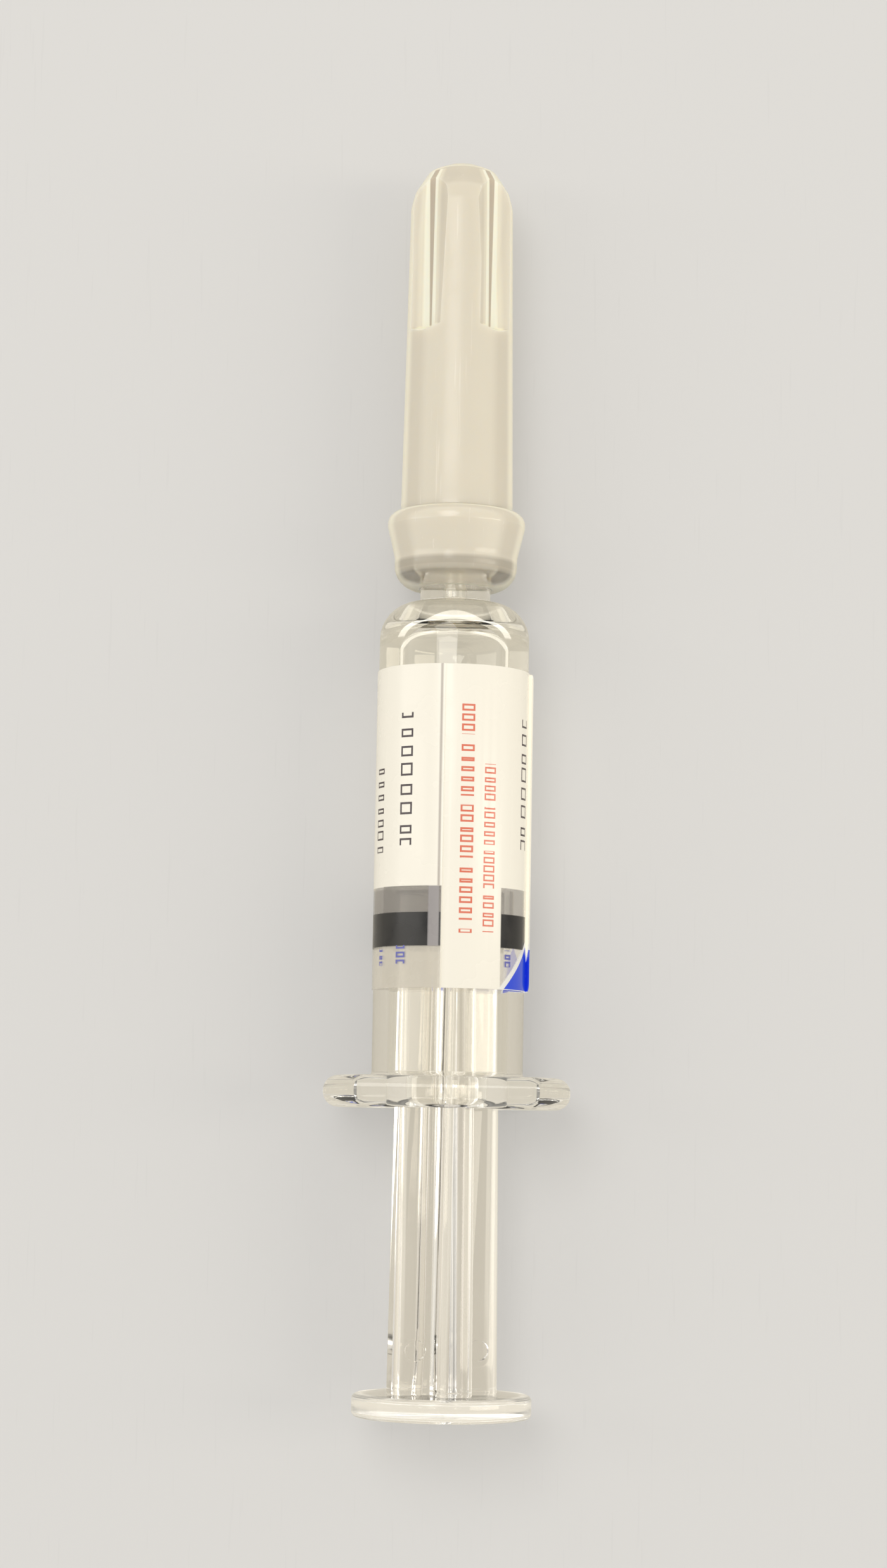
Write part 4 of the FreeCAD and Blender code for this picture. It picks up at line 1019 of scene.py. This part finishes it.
@dataclass
class NeedleShield:
    """Soft moulding with a collar and four shallow flutes.

    The collar and the hollow are counted from the shield's rim, the shaft's tip from its end.
    """

    collar: Outline = (
        Corner(2.6, 0.0, 0.15), Corner(4.46, 0.0, 1.7), Corner(4.46, 2.35, 2.0), Corner(5.0, 4.55, 0.4),
        Corner(5.0, 5.65, 0.8), Corner(4.08, 5.65, 0.12))
    shaft: Outline = (
        Corner(3.74, -3.23, 1.5), Corner(3.45, -2.13, 1.2), Corner(2.45, -0.55, 0.9), Corner(1.1, 0.0, 0.6),
        Corner(POLE, 0.0))
    hollow: Outline = (
        Corner(POLE, 25.62), Corner(0.3, 25.62), Corner(0.3, 23.27), Corner(0.85, 22.72),
        Corner(0.95, 10.33), Corner(2.15, 9.13, 0.3), Corner(2.53, 5.33), Corner(2.53, 3.17),
        Corner(3.1, 2.6, 0.2), Corner(3.1, 1.5, 0.2), Corner(2.6, 1.0, 0.2))
    flute_floor: float = 3.03
    flute_count: int = 4
    flute_end: float = 19.05
    floor_top: float = 0.21
    floor_end: float = 0.07
    wall_top: float = 5.0
    wall_end: float = 19.5
    reach: float = 2.1
    tool_top: float = 6.0
    tool_spare: float = 1.0
    runout: float = 0.5
    runout_lift: float = 1.15

    def build(self) -> Piece:
        """Turns the moulding, cuts the flutes and softens their edges."""
        rim = along(SHIELD_LOW.y)
        end = along(SHIELD_HIGH.y)
        piece = turned("shield_moulding", [
            *shifted(self.collar, rim), *shifted(self.shaft, end), *shifted(self.hollow, rim)])
        for number in range(self.flute_count):
            tool = self.flute_tool(rim + self.flute_end, end + self.tool_spare)
            swing(tool, 360.0 / self.flute_count * (number + 0.5))
            combine(piece, tool)
        close_up(piece)
        return smooth(piece, 18.0)

    def flute_tool(self, start: float, end: float) -> Piece:
        """Makes the wedge that cuts one flute at the top.

        Args:
            start: place of the flute's start.
            end: place of the wedge's end, beyond the shield.

        Returns:
            The wedge.
        """
        depth_top = self.reach * math.tan(math.radians(self.wall_top))
        depth_end = self.reach * math.tan(math.radians(self.wall_end))
        inner = self.flute_floor + depth_top
        tool = added(bpy.ops.mesh.primitive_cube_add, size=1.0,
                     location=spot_at(0, (start + end) / 2, (inner + self.tool_top) / 2),
                     scale=(2 * self.reach * MM, (end - start) * MM, (self.tool_top - inner) * MM))
        settle(tool)
        edit(tool)
        pick("FACE", lambda middle, normal: normal.z < -UPRIGHT)
        push(z=-depth_top * MM)
        bpy.ops.transform.resize(value=(self.floor_top / self.reach, 1, 1))
        self.pick_corners(spot_at(0, start, inner))
        bpy.ops.transform.translate(value=(0, 0, (depth_end - depth_top) * MM))
        self.pick_corners(spot_at(0, start, self.flute_floor))
        bpy.ops.transform.resize(value=(self.floor_end / self.floor_top, 1, 1))
        pick("FACE", lambda middle, normal: normal.y < -UPRIGHT)
        push(y=-self.runout * MM)
        bpy.ops.transform.translate(value=(0, 0, self.runout_lift * MM))
        leave()
        close_up(tool)
        return tool

    @staticmethod
    def pick_corners(level: Vector) -> None:
        """Selects the wedge's corners at this place and height."""
        pick("VERT", lambda spot: abs(spot.y - level.y) < MERGE and abs(spot.z - level.z) < MERGE)


@dataclass
class Stopper:
    """Black rubber stopper with sealing ribs and a blunt nose."""

    rib: float = 4.31
    core: float = 4.0
    hole: float = 1.65
    hole_depth: float = 5.0
    ribs: int = 2
    pitch: float = 2.3
    width: float = 0.8
    slope: float = 0.25
    nose_start: float = 6.3
    nose: float = 0.8
    root_round: float = 0.1
    crest_round: float = 0.15

    def build(self) -> Piece:
        """Turns the stopper."""
        length = along(STOPPER_HIGH.y) - along(STOPPER_LOW.y)
        corners = [Corner(self.hole, 0.0, 0.1), Corner(self.core, 0.0, 0.08)]
        for number in range(self.ribs):
            foot = self.slope + number * self.pitch
            crest = foot + self.slope
            corners += [
                Corner(self.core, foot, self.root_round),
                Corner(self.rib, crest, self.crest_round),
                Corner(self.rib, crest + self.width, self.crest_round),
                Corner(self.core, crest + self.width + self.slope, self.root_round)]
        band = self.nose_start - self.width
        corners += [
            Corner(self.core, band - self.slope, self.root_round),
            Corner(self.rib, band, self.crest_round),
            Corner(self.rib, self.nose_start, 0.3), Corner(self.nose, length, 0.4),
            Corner(POLE, length), Corner(POLE, self.hole_depth), Corner(self.hole, self.hole_depth, 0.2)]
        return smooth(turned("rubber_stopper", shifted(corners, along(STOPPER_LOW.y))))


@dataclass
class PlungerRod:
    """Clear moulding: thumb disc, four ribs, pushing disc and stud."""

    roll: float = 17.0
    disc_reach: float = 6.4
    disc: float = 1.65
    disc_round: float = 0.4
    rib_half: float = 0.875
    rib_reach: float = 3.55
    rib_edge: float = 0.35
    rib_root: float = 0.45
    foot: float = 0.3
    foot_steps: int = 5
    head_reach: float = 3.95
    head: float = 1.2
    head_round: float = 0.25
    stud: float = 1.6
    long: float = 5.0
    bevel_steps: int = 5
    mark: float = 0.75
    mark_depth: float = 0.1
    mark_place: float = 4.75
    mark_segments: int = 48

    def build(self) -> Piece:
        """Extrudes the ribs and joins the discs and the stud to them."""
        rear = along(ROD_LOW.y)
        front = along(ROD_HIGH.y)
        head_front = along(STOPPER_LOW.y)
        ribs = self.build_ribs(rear + self.disc / 2, head_front - self.head / 2)
        disc = turned("disc", [
            Corner(POLE, rear), Corner(self.disc_reach, rear, self.disc_round),
            Corner(self.disc_reach, rear + self.disc, self.disc_round), Corner(POLE, rear + self.disc)])
        head = turned("head", [
            Corner(POLE, head_front - self.head),
            Corner(self.head_reach, head_front - self.head, self.head_round),
            Corner(self.head_reach, head_front, self.head_round),
            Corner(self.stud, head_front, 0.1), Corner(self.stud, front, 0.4), Corner(POLE, front)])
        combine(ribs, disc, "UNION")
        combine(ribs, head, "UNION")
        self.sink_marks(ribs, rear + self.mark_place)
        ribs.name = "rod_moulding"
        swing(ribs, self.roll)
        close_up(ribs)
        return smooth(ribs, 30.0)

    def build_ribs(self, start: float, end: float) -> Piece:
        """Extrudes a square into a cross and the cross along the axis."""
        piece = added(bpy.ops.mesh.primitive_plane_add, size=2 * self.rib_half * MM,
                      rotation=(math.pi / 2, 0, 0), location=spot_at(0, start, 0))
        settle(piece)
        arm = (self.rib_reach - self.rib_half) * MM
        for x, z in ((1, 0), (-1, 0), (0, 1), (0, -1)):
            side = spot_at(x * self.rib_half, start, z * self.rib_half)
            edit(piece)
            pick("EDGE", lambda first, second: ((first + second) / 2 - side).length < MERGE)
            push(x=x * arm, z=z * arm)
            leave()
        edit(piece, "FACE")
        push(y=(end - start) * MM)
        leave()
        close_up(piece)
        self.round_long_edges(piece, self.rib_half, self.rib_root)
        self.round_long_edges(piece, self.rib_reach, self.rib_edge)
        self.flare_feet(piece, start + self.disc / 2)
        return piece

    def flare_feet(self, piece: Piece, disc_front: float) -> None:
        """Widens the ribs in a round sweep where they stand on the thumb disc."""
        for step in range(self.foot_steps + 1):
            angle = math.radians(90.0 * step / self.foot_steps)
            spot = spot_at(0, disc_front + self.foot * (1 - math.cos(angle)), 0)
            edit(piece)
            bpy.ops.mesh.bisect(plane_co=(0, spot.y, 0), plane_no=(0, 1, 0))
            pick("VERT", lambda place: abs(place.y - spot.y) < MERGE / 4)
            growth = self.foot * (1 - math.sin(angle))
            bpy.ops.transform.shrink_fatten(value=growth * MM, use_even_offset=True)
            leave()

    def round_long_edges(self, piece: Piece, reach: float, width: float) -> None:
        """Bevels the edges along the ribs that lie this far out."""
        edit(piece)
        pick("EDGE", lambda first, second: abs(first.y - second.y) > self.long * MM and abs(
            max(abs(first.x), abs(first.z - AXIS_HEIGHT)) - reach * MM) < 2 * MERGE)
        bpy.ops.mesh.bevel(offset=width * MM, segments=self.bevel_steps, profile=0.5)
        leave()

    def sink_marks(self, piece: Piece, place: float) -> None:
        """Sinks the two round marks of the mould's pins into the upper faces."""
        across = (self.rib_reach + self.rib_half + self.rib_root / 2) / 2
        depth = 1.0
        for side in (-1, 1):
            tool = added(bpy.ops.mesh.primitive_cylinder_add, vertices=self.mark_segments,
                         radius=self.mark * MM, depth=depth * MM, location=spot_at(
                             side * across, place, self.rib_half - self.mark_depth + depth / 2))
            settle(tool)
            combine(piece, tool)


@dataclass
class FilmLabel:
    """Film wrapped round the barrel, doubled at its lap, with a lifted tab."""

    inside: float = 5.445
    film: float = 0.08
    contact: float = 0.025
    lap: Span = (-6.0, 46.0)
    lap_steps: int = 24
    tab_root: float = 100.0
    tab_length: float = 1.9
    tab_overlap: float = 0.3
    tab_corner: float = 0.7
    tab_steps: int = 8

    def build(self) -> Piece:
        """Makes the wrap, the lap and the tab and joins them."""
        start = along(LABEL_LOW.y)
        end = along(LABEL_HIGH.y)
        outside = self.inside + self.film
        wrap = turned("label_film", [
            Corner(self.inside - self.contact, start), Corner(outside, start, 0.02),
            Corner(outside, end, 0.02), Corner(self.inside - self.contact, end)])
        parts = self.build_lap(start, end, outside), self.build_tab(start, end)
        activate(wrap)
        for part in parts:
            part.select_set(True)
        bpy.ops.object.join()
        return smooth(wrap)

    def build_lap(self, start: float, end: float, outside: float) -> Piece:
        """Spins a thin strip over the lap's angle."""
        angle = math.radians(self.lap[0])
        reach = outside + self.film / 2
        lap = added(bpy.ops.mesh.primitive_plane_add, size=1.0)
        lap.scale = (self.film * MM, (end - start) * MM, 1)
        lap.rotation_euler = (0, math.radians(90 + self.lap[0]), 0)
        lap.location = spot_at(reach * math.sin(angle), (start + end) / 2, reach * math.cos(angle))
        settle(lap)
        edit(lap, "FACE")
        bpy.ops.mesh.spin(steps=self.lap_steps, angle=math.radians(self.lap[1] - self.lap[0]),
                          center=(0, 0, AXIS_HEIGHT), axis=(0, 1, 0))
        leave()
        close_up(lap)
        return lap

    def build_tab(self, start: float, end: float) -> Piece:
        """Makes the tab as a thin plate that stands up beside the barrel."""
        middle = (self.tab_length - self.tab_overlap) / 2
        tab = added(bpy.ops.mesh.primitive_cube_add, size=1.0,
                    location=spot_at(self.inside + self.film / 2, (start + end) / 2, middle),
                    scale=(self.film * MM, (end - start) * MM, (self.tab_length + self.tab_overlap) * MM))
        settle(tab)
        edit(tab)
        top = max(vertex.co.z for vertex in bmesh.from_edit_mesh(tab.data).verts)
        pick("EDGE", lambda first, second: min(first.z, second.z) > top - MERGE
             and abs(first.y - second.y) < MERGE)
        bpy.ops.mesh.bevel(offset=self.tab_corner * MM, segments=self.tab_steps)
        leave()
        swing(tab, self.tab_root - 90.0)
        return tab


@dataclass
class Dose:
    """Liquid that wets the glass, with a flat surface under its bubble.

    The front outline ends in the glass's channel; sinks gives the steps by which the surface falls from its
    climbing edge, each as the width and the depth of a step in shares of the climb.
    """

    side: float = 4.335
    level: float = 2.2
    climb: float = 0.3
    sinks: tuple[Span, ...] = ((0.2, 0.5), (0.3, 0.4), (0.5, 0.2))
    nose: float = 0.8
    nose_start: float = 6.3
    gap: float = 0.02
    front: Outline = (
        Corner(4.335, 34.61, 1.31), Corner(2.9, 34.61, 0.5), Corner(0.56, 36.2, 0.3), Corner(0.56, 39.2),
        Corner(POLE, 39.2))
    bubble_length: float = 8.0
    bubble_half: float = 3.75
    bubble_end: float = 34.45
    bubble_corner: float = 2.7
    bubble_steps: int = 20
    anchor: float = 33.24
    keep: float = 0.02

    def build(self) -> Piece:
        """Turns the liquid's outline, cuts it level and sinks the surface inside its edge."""
        rear = along(STOPPER_HIGH.y)
        piece = turned("liquid", [
            Corner(POLE, rear + self.gap), Corner(self.nose, rear + self.gap),
            Corner(self.side, along(STOPPER_LOW.y) + self.nose_start + self.gap), *self.front], segments=96)
        combine(piece, self.bubble_tool(rear - self.bubble_length))
        top = spot_at(0, 0, self.level + self.climb).z
        edit(piece)
        pick("FACE", lambda middle, normal: normal.z > UPRIGHT and abs(middle.z - top) < MERGE)
        for width, depth in self.sinks:
            bpy.ops.mesh.inset(thickness=self.climb * width * MM)
            bpy.ops.transform.translate(value=(0, 0, -self.climb * depth * MM))
        leave()
        return smooth(piece, 50.0)

    def bubble_tool(self, start: float) -> Piece:
        """Makes the air bubble: a block with a flat floor and round front corners."""
        tool = added(bpy.ops.mesh.primitive_plane_add, size=1.0, location=spot_at(
            0, (start + self.bubble_end) / 2, self.level + self.climb))
        tool.scale = (2 * self.bubble_half * MM, (self.bubble_end - start) * MM, 1)
        settle(tool)
        edit(tool, "FACE")
        push(z=self.side * MM)
        leave()
        close_up(tool)
        front = spot_at(0, self.bubble_end, 0).y
        edit(tool)
        pick("EDGE", lambda first, second: min(first.y, second.y) > front - MERGE
             and abs(first.z - second.z) > MERGE)
        bpy.ops.mesh.bevel(offset=self.bubble_corner * MM, segments=self.bubble_steps, profile=0.5)
        leave()
        return tool


@dataclass(frozen=True)
class Softbox:
    """One soft lamp.

    Args:
        name: its name.
        size: its width and height, in metres.
        spot: its place, in metres.
        power: its power, in watts.
        color: its colour, linear.
    """

    name: str
    size: Span
    spot: tuple[float, float, float]
    power: float
    color: Color


@dataclass
class Studio:
    """Pale surface, soft lamps, plain surroundings and the camera."""

    focal: float = 5300.0
    rows: float = 2474.0
    tilt: float = 6.01
    lean: float = 1.01
    height: float = 242.0
    aim: Span = (-0.62, -0.29)
    sensor: float = 24.0
    clip: Span = (0.005, 50.0)
    floor_size: float = 3.0
    floor_gap: float = 0.02
    rim_middle: float = 1.2
    lamps: tuple[Softbox, ...] = (
        Softbox("top_softbox", (0.3, 0.3), (-0.14, 0.2, 0.6), 0.9, (1.0, 0.98, 0.93)),
        Softbox("right_softbox", (0.15, 0.5), (0.55, 0.0, 0.36), 0.8, (1.0, 0.93, 0.78)),
        Softbox("left_softbox", (0.12, 0.5), (-0.55, 0.05, 0.3), 0.35, (1.0, 0.96, 0.88)))
    room: tuple[tuple[float, Color], ...] = (
        (0.0, (1.0, 0.965, 0.87)), (0.4, (0.8, 0.77, 0.7)), (1.0, (0.62, 0.6, 0.57)))

    def build_floor(self) -> Piece:
        """Makes the surface that the thumb disc's rim and the label's edge rest on."""
        rear = ROD_LOW.y + self.rim_middle * MM
        slope = math.atan2(LABEL_LOW.z, LABEL_HIGH.y - rear)
        floor = added(bpy.ops.mesh.primitive_plane_add, size=self.floor_size,
                      location=(0, rear, -self.floor_gap * MM), rotation=(slope, 0, 0))
        floor.name = "floor"
        settle(floor)
        return floor

    def build_camera(self) -> None:
        """Places the camera where the photograph was taken from."""
        lean = math.radians(self.lean)
        tilt = math.radians(self.tilt)
        right = Vector((math.cos(lean), math.sin(lean), 0))
        level = Vector((-math.sin(lean), math.cos(lean), 0))
        forward = level * math.sin(tilt) - Vector((0, 0, 1)) * math.cos(tilt)
        target = Vector((self.aim[0] * MM, self.aim[1] * MM, AXIS_HEIGHT))
        spot = target - forward * (self.height * MM / math.cos(tilt))
        camera = added(bpy.ops.object.camera_add, location=spot)
        camera.matrix_world = Matrix.Translation(spot) @ Matrix(
            (right, right.cross(forward), -forward)).transposed().to_4x4()
        camera.data.sensor_fit = "VERTICAL"
        camera.data.sensor_height = self.sensor
        camera.data.lens = self.focal / self.rows * self.sensor
        camera.data.clip_start, camera.data.clip_end = self.clip
        bpy.context.scene.camera = camera

    def build_lamps(self) -> None:
        """Lights the syringe from above, from the right and faintly from the left."""
        for lamp in self.lamps:
            aim = (Vector((0, 0, AXIS_HEIGHT)) - Vector(lamp.spot)).to_track_quat("-Z", "Y")
            light = added(bpy.ops.object.light_add, type="AREA", location=lamp.spot, rotation=aim.to_euler())
            light.name = lamp.name
            light.data.shape = "RECTANGLE"
            light.data.size, light.data.size_y = lamp.size
            light.data.energy = lamp.power
            light.data.color = lamp.color

    def build_world(self) -> None:
        """Surrounds the scene with a plain room: pale and warm at the horizon, cooler above."""
        world = bpy.data.worlds.new("room")
        bpy.context.scene.world = world
        world.use_nodes = True
        recipe = Recipe(world.node_tree)
        coordinates = recipe.node("ShaderNodeTexCoord").outputs["Generated"]
        parts = recipe.feed(recipe.node("ShaderNodeSeparateXYZ"), Vector=coordinates)
        ramp = recipe.feed(recipe.node("ShaderNodeValToRGB"), Fac=parts.outputs["Z"])
        stops = ramp.color_ramp.elements
        stops.new(self.room[1][0])
        for stop, (position, color) in zip(stops, self.room):
            stop.position = position
            stop.color = (*color, 1.0)
        recipe.feed(world.node_tree.nodes["Background"], Color=ramp.outputs["Color"], Strength=1.0)


@dataclass(frozen=True)
class FloorFinish(Finish):
    """Plain pale surface that keeps the object's shadow and stays pale where glass shows it.

    Args:
        seen: share of the plain colour in what is seen straight.
        through: share of the warm colour in what glass shows of it.
        glow: the plain colour, linear.
        warm: the warm colour, linear.
    """

    seen: float = 0.3
    through: float = 0.8
    glow: Color = (0.7, 0.69, 0.67)
    warm: Color = (0.62, 0.57, 0.465)

    def make(self, effects: Effects) -> bpy.types.Material:
        """Makes the surface's material."""
        material, recipe, shader, _ = self.start(effects)
        path = recipe.node("ShaderNodeLightPath").outputs
        bent = recipe.math("MAXIMUM", path["Is Transmission Ray"], path["Is Glossy Ray"])
        share = recipe.math("MAXIMUM", recipe.product(path["Is Camera Ray"], self.seen),
                            recipe.product(bent, self.through))
        recipe.add_plain(shader, share, recipe.mix(path["Is Camera Ray"], self.warm, self.glow))
        return material


BLACK = (0.0, 0.0, 0.0)
WHITE_INK = (0.94, 0.91, 0.83)
DARK_INK = (0.05, 0.035, 0.045)
RED_INK = (0.76, 0.2, 0.13)
BLUE_INK = (0.13, 0.14, 0.46)
# Painted shadow line along the edge of the label's lap.
LAP_EDGE_SHADOW = (0.5, 0.46, 0.42)
ROUND = (-181, 181)
LABEL_START = along(LABEL_LOW.y) - 1
LABEL_END = along(LABEL_HIGH.y) + 1

GLASS = ClearFinish("clear_glass", (0.99, 0.985, 0.965), (0.97, 0.96, 0.94), 0.0, 0.015, 1.49, 1.0, 0.015,
                    6.0, rim_reach=6.2, rim_glow=0.05)
PLASTIC = RodFinish("clear_plastic", (0.975, 0.96, 0.935), (0.95, 0.94, 0.91), 0.02, 0.1, 1.53, 1.0, 0.02,
                    4.0, rim_glow=0.12)
LIQUID = LiquidFinish("clear_liquid", (0.99, 0.99, 0.98), (0.985, 0.985, 0.98), 0.0, 0.0, 1.34, 1.0, 0.0,
                      5.0)
ADHESIVE = Finish("cured_adhesive", (0.9, 0.87, 0.72), (0.85, 0.82, 0.7), 0.1, 0.2, 1.5, 0.6)
STEEL = Finish("bright_steel", (0.7, 0.7, 0.71), (0.5, 0.5, 0.52), 0.16, 0.26, 1.5, 0.0, 0.02, 1.0, 1.0)
RUBBER = Finish("black_rubber", (0.012, 0.012, 0.014), (0.035, 0.035, 0.04), 0.42, 0.55, 1.5, 0.0, 0.1, 1.5)
SHIELD = ShieldFinish("milky_shield", (0.74, 0.7, 0.61), (0.8, 0.76, 0.68), 0.28, 0.42, 1.45, 0.0, 0.05, 2.5)
FLOOR = FloorFinish("pale_surface", (0.72, 0.72, 0.73), (0.7, 0.7, 0.71), 0.75, 0.85, 1.4, 0.0, 0.1, 14.0)
LABEL = LabelFinish(
    "printed_film", (0.76, 0.72, 0.64), (0.8, 0.76, 0.68), 0.22, 0.34, 1.48,
    patches=(
        Patch((0.76, 0.72, 0.64), 0.38, (LABEL_START, 11.35), ROUND),
        Patch((0.34, 0.32, 0.3), 0.4, (13.6, 15.65), ROUND),
        Patch((0.008, 0.008, 0.01), 0.97, (11.35, 13.75), ROUND),
        Patch((0.38, 0.36, 0.37), 0.85, (11.35, 15.65), (-16, -8)),
        Patch(WHITE_INK, 1.0, (15.6, LABEL_END), ROUND),
        Patch(WHITE_INK, 1.0, (LABEL_START, LABEL_END), (-6.5, 41)),
        Patch(WHITE_INK, 1.0, (LABEL_START, LABEL_END), (78, 112)),
        # Painted shadow line along the edge of the lap.
        Patch(LAP_EDGE_SHADOW, 1.0, (15.6, LABEL_END), (-9.4, -7.6))),
    rows=(
        PrintRow(RED_INK, (12.3, 28.75), (3.5, 19.5), 0.72, 0.0, 0.14, 4.4),
        PrintRow(RED_INK, (12.3, 24.85), (22.0, 37.0), 0.64, 4.0, 0.12, 3.1),
        PrintRow(DARK_INK, (18.5, 28.0), (-44, -27), 1.38, 7.0, 0.15),
        PrintRow(DARK_INK, (18.1, 24.5), (-76, -58), 0.95, 9.0, 0.13),
        PrintRow(DARK_INK, (18.5, 27.9), (61, 77), 1.3, 3.0, 0.14),
        PrintRow(BLUE_INK, (10.1, 11.4), (-45, -32), 0.62, 5.0, 0.13),
        PrintRow(BLUE_INK, (10.0, 11.2), (-66, -57), 0.55, 6.0, 0.12),
        PrintRow(BLUE_INK, (10.0, 11.2), (44, 54), 0.62, 8.0, 0.13)))


def dress(piece: Piece, material: bpy.types.Material, body: Body, node: str) -> None:
    """Gives a piece its material and seats it in the frame.

    Args:
        piece: the finished piece.
        material: its material.
        body: the body it rides on.
        node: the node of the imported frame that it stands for.
    """
    piece.data.materials.clear()
    piece.data.materials.append(material)
    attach(piece, body.value)
    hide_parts(node)
    log.info("%s: %d faces", piece.name, len(piece.data.polygons))


def main() -> None:
    """Builds the studio and every piece."""
    logging.basicConfig(level=logging.INFO, format="%(message)s")
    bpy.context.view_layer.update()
    bpy.context.scene.view_settings.view_transform = "Standard"
    effects = Effects()
    studio = Studio()
    floor = studio.build_floor()
    floor.data.materials.append(FLOOR.make(effects))
    studio.build_camera()
    studio.build_lamps()
    studio.build_world()

    dress(GlassBarrel().build(), GLASS.make(effects), Body.BARREL, "glass_barrel")
    unit = NeedleUnit()
    dress(unit.build_needle(), STEEL.make(effects), Body.BARREL, "needle")
    dress(unit.build_adhesive(), ADHESIVE.make(effects), Body.BARREL, "needle_adhesive")
    dress(FilmLabel().build(), LABEL.make(effects), Body.BARREL, "label")
    dose = Dose()
    liquid = dose.build()
    dress(liquid, LIQUID.make(effects), Body.BARREL, "liquid_dose")
    dress(Stopper().build(), RUBBER.make(effects), Body.PLUNGER, "plunger_stopper")
    dress(PlungerRod().build(), PLASTIC.make(effects), Body.PLUNGER, "plunger_rod")
    dress(NeedleShield().build(), SHIELD.make(effects), Body.SHIELD, "needle_shield")
    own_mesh(liquid)


if __name__ == "__main__":
    main()
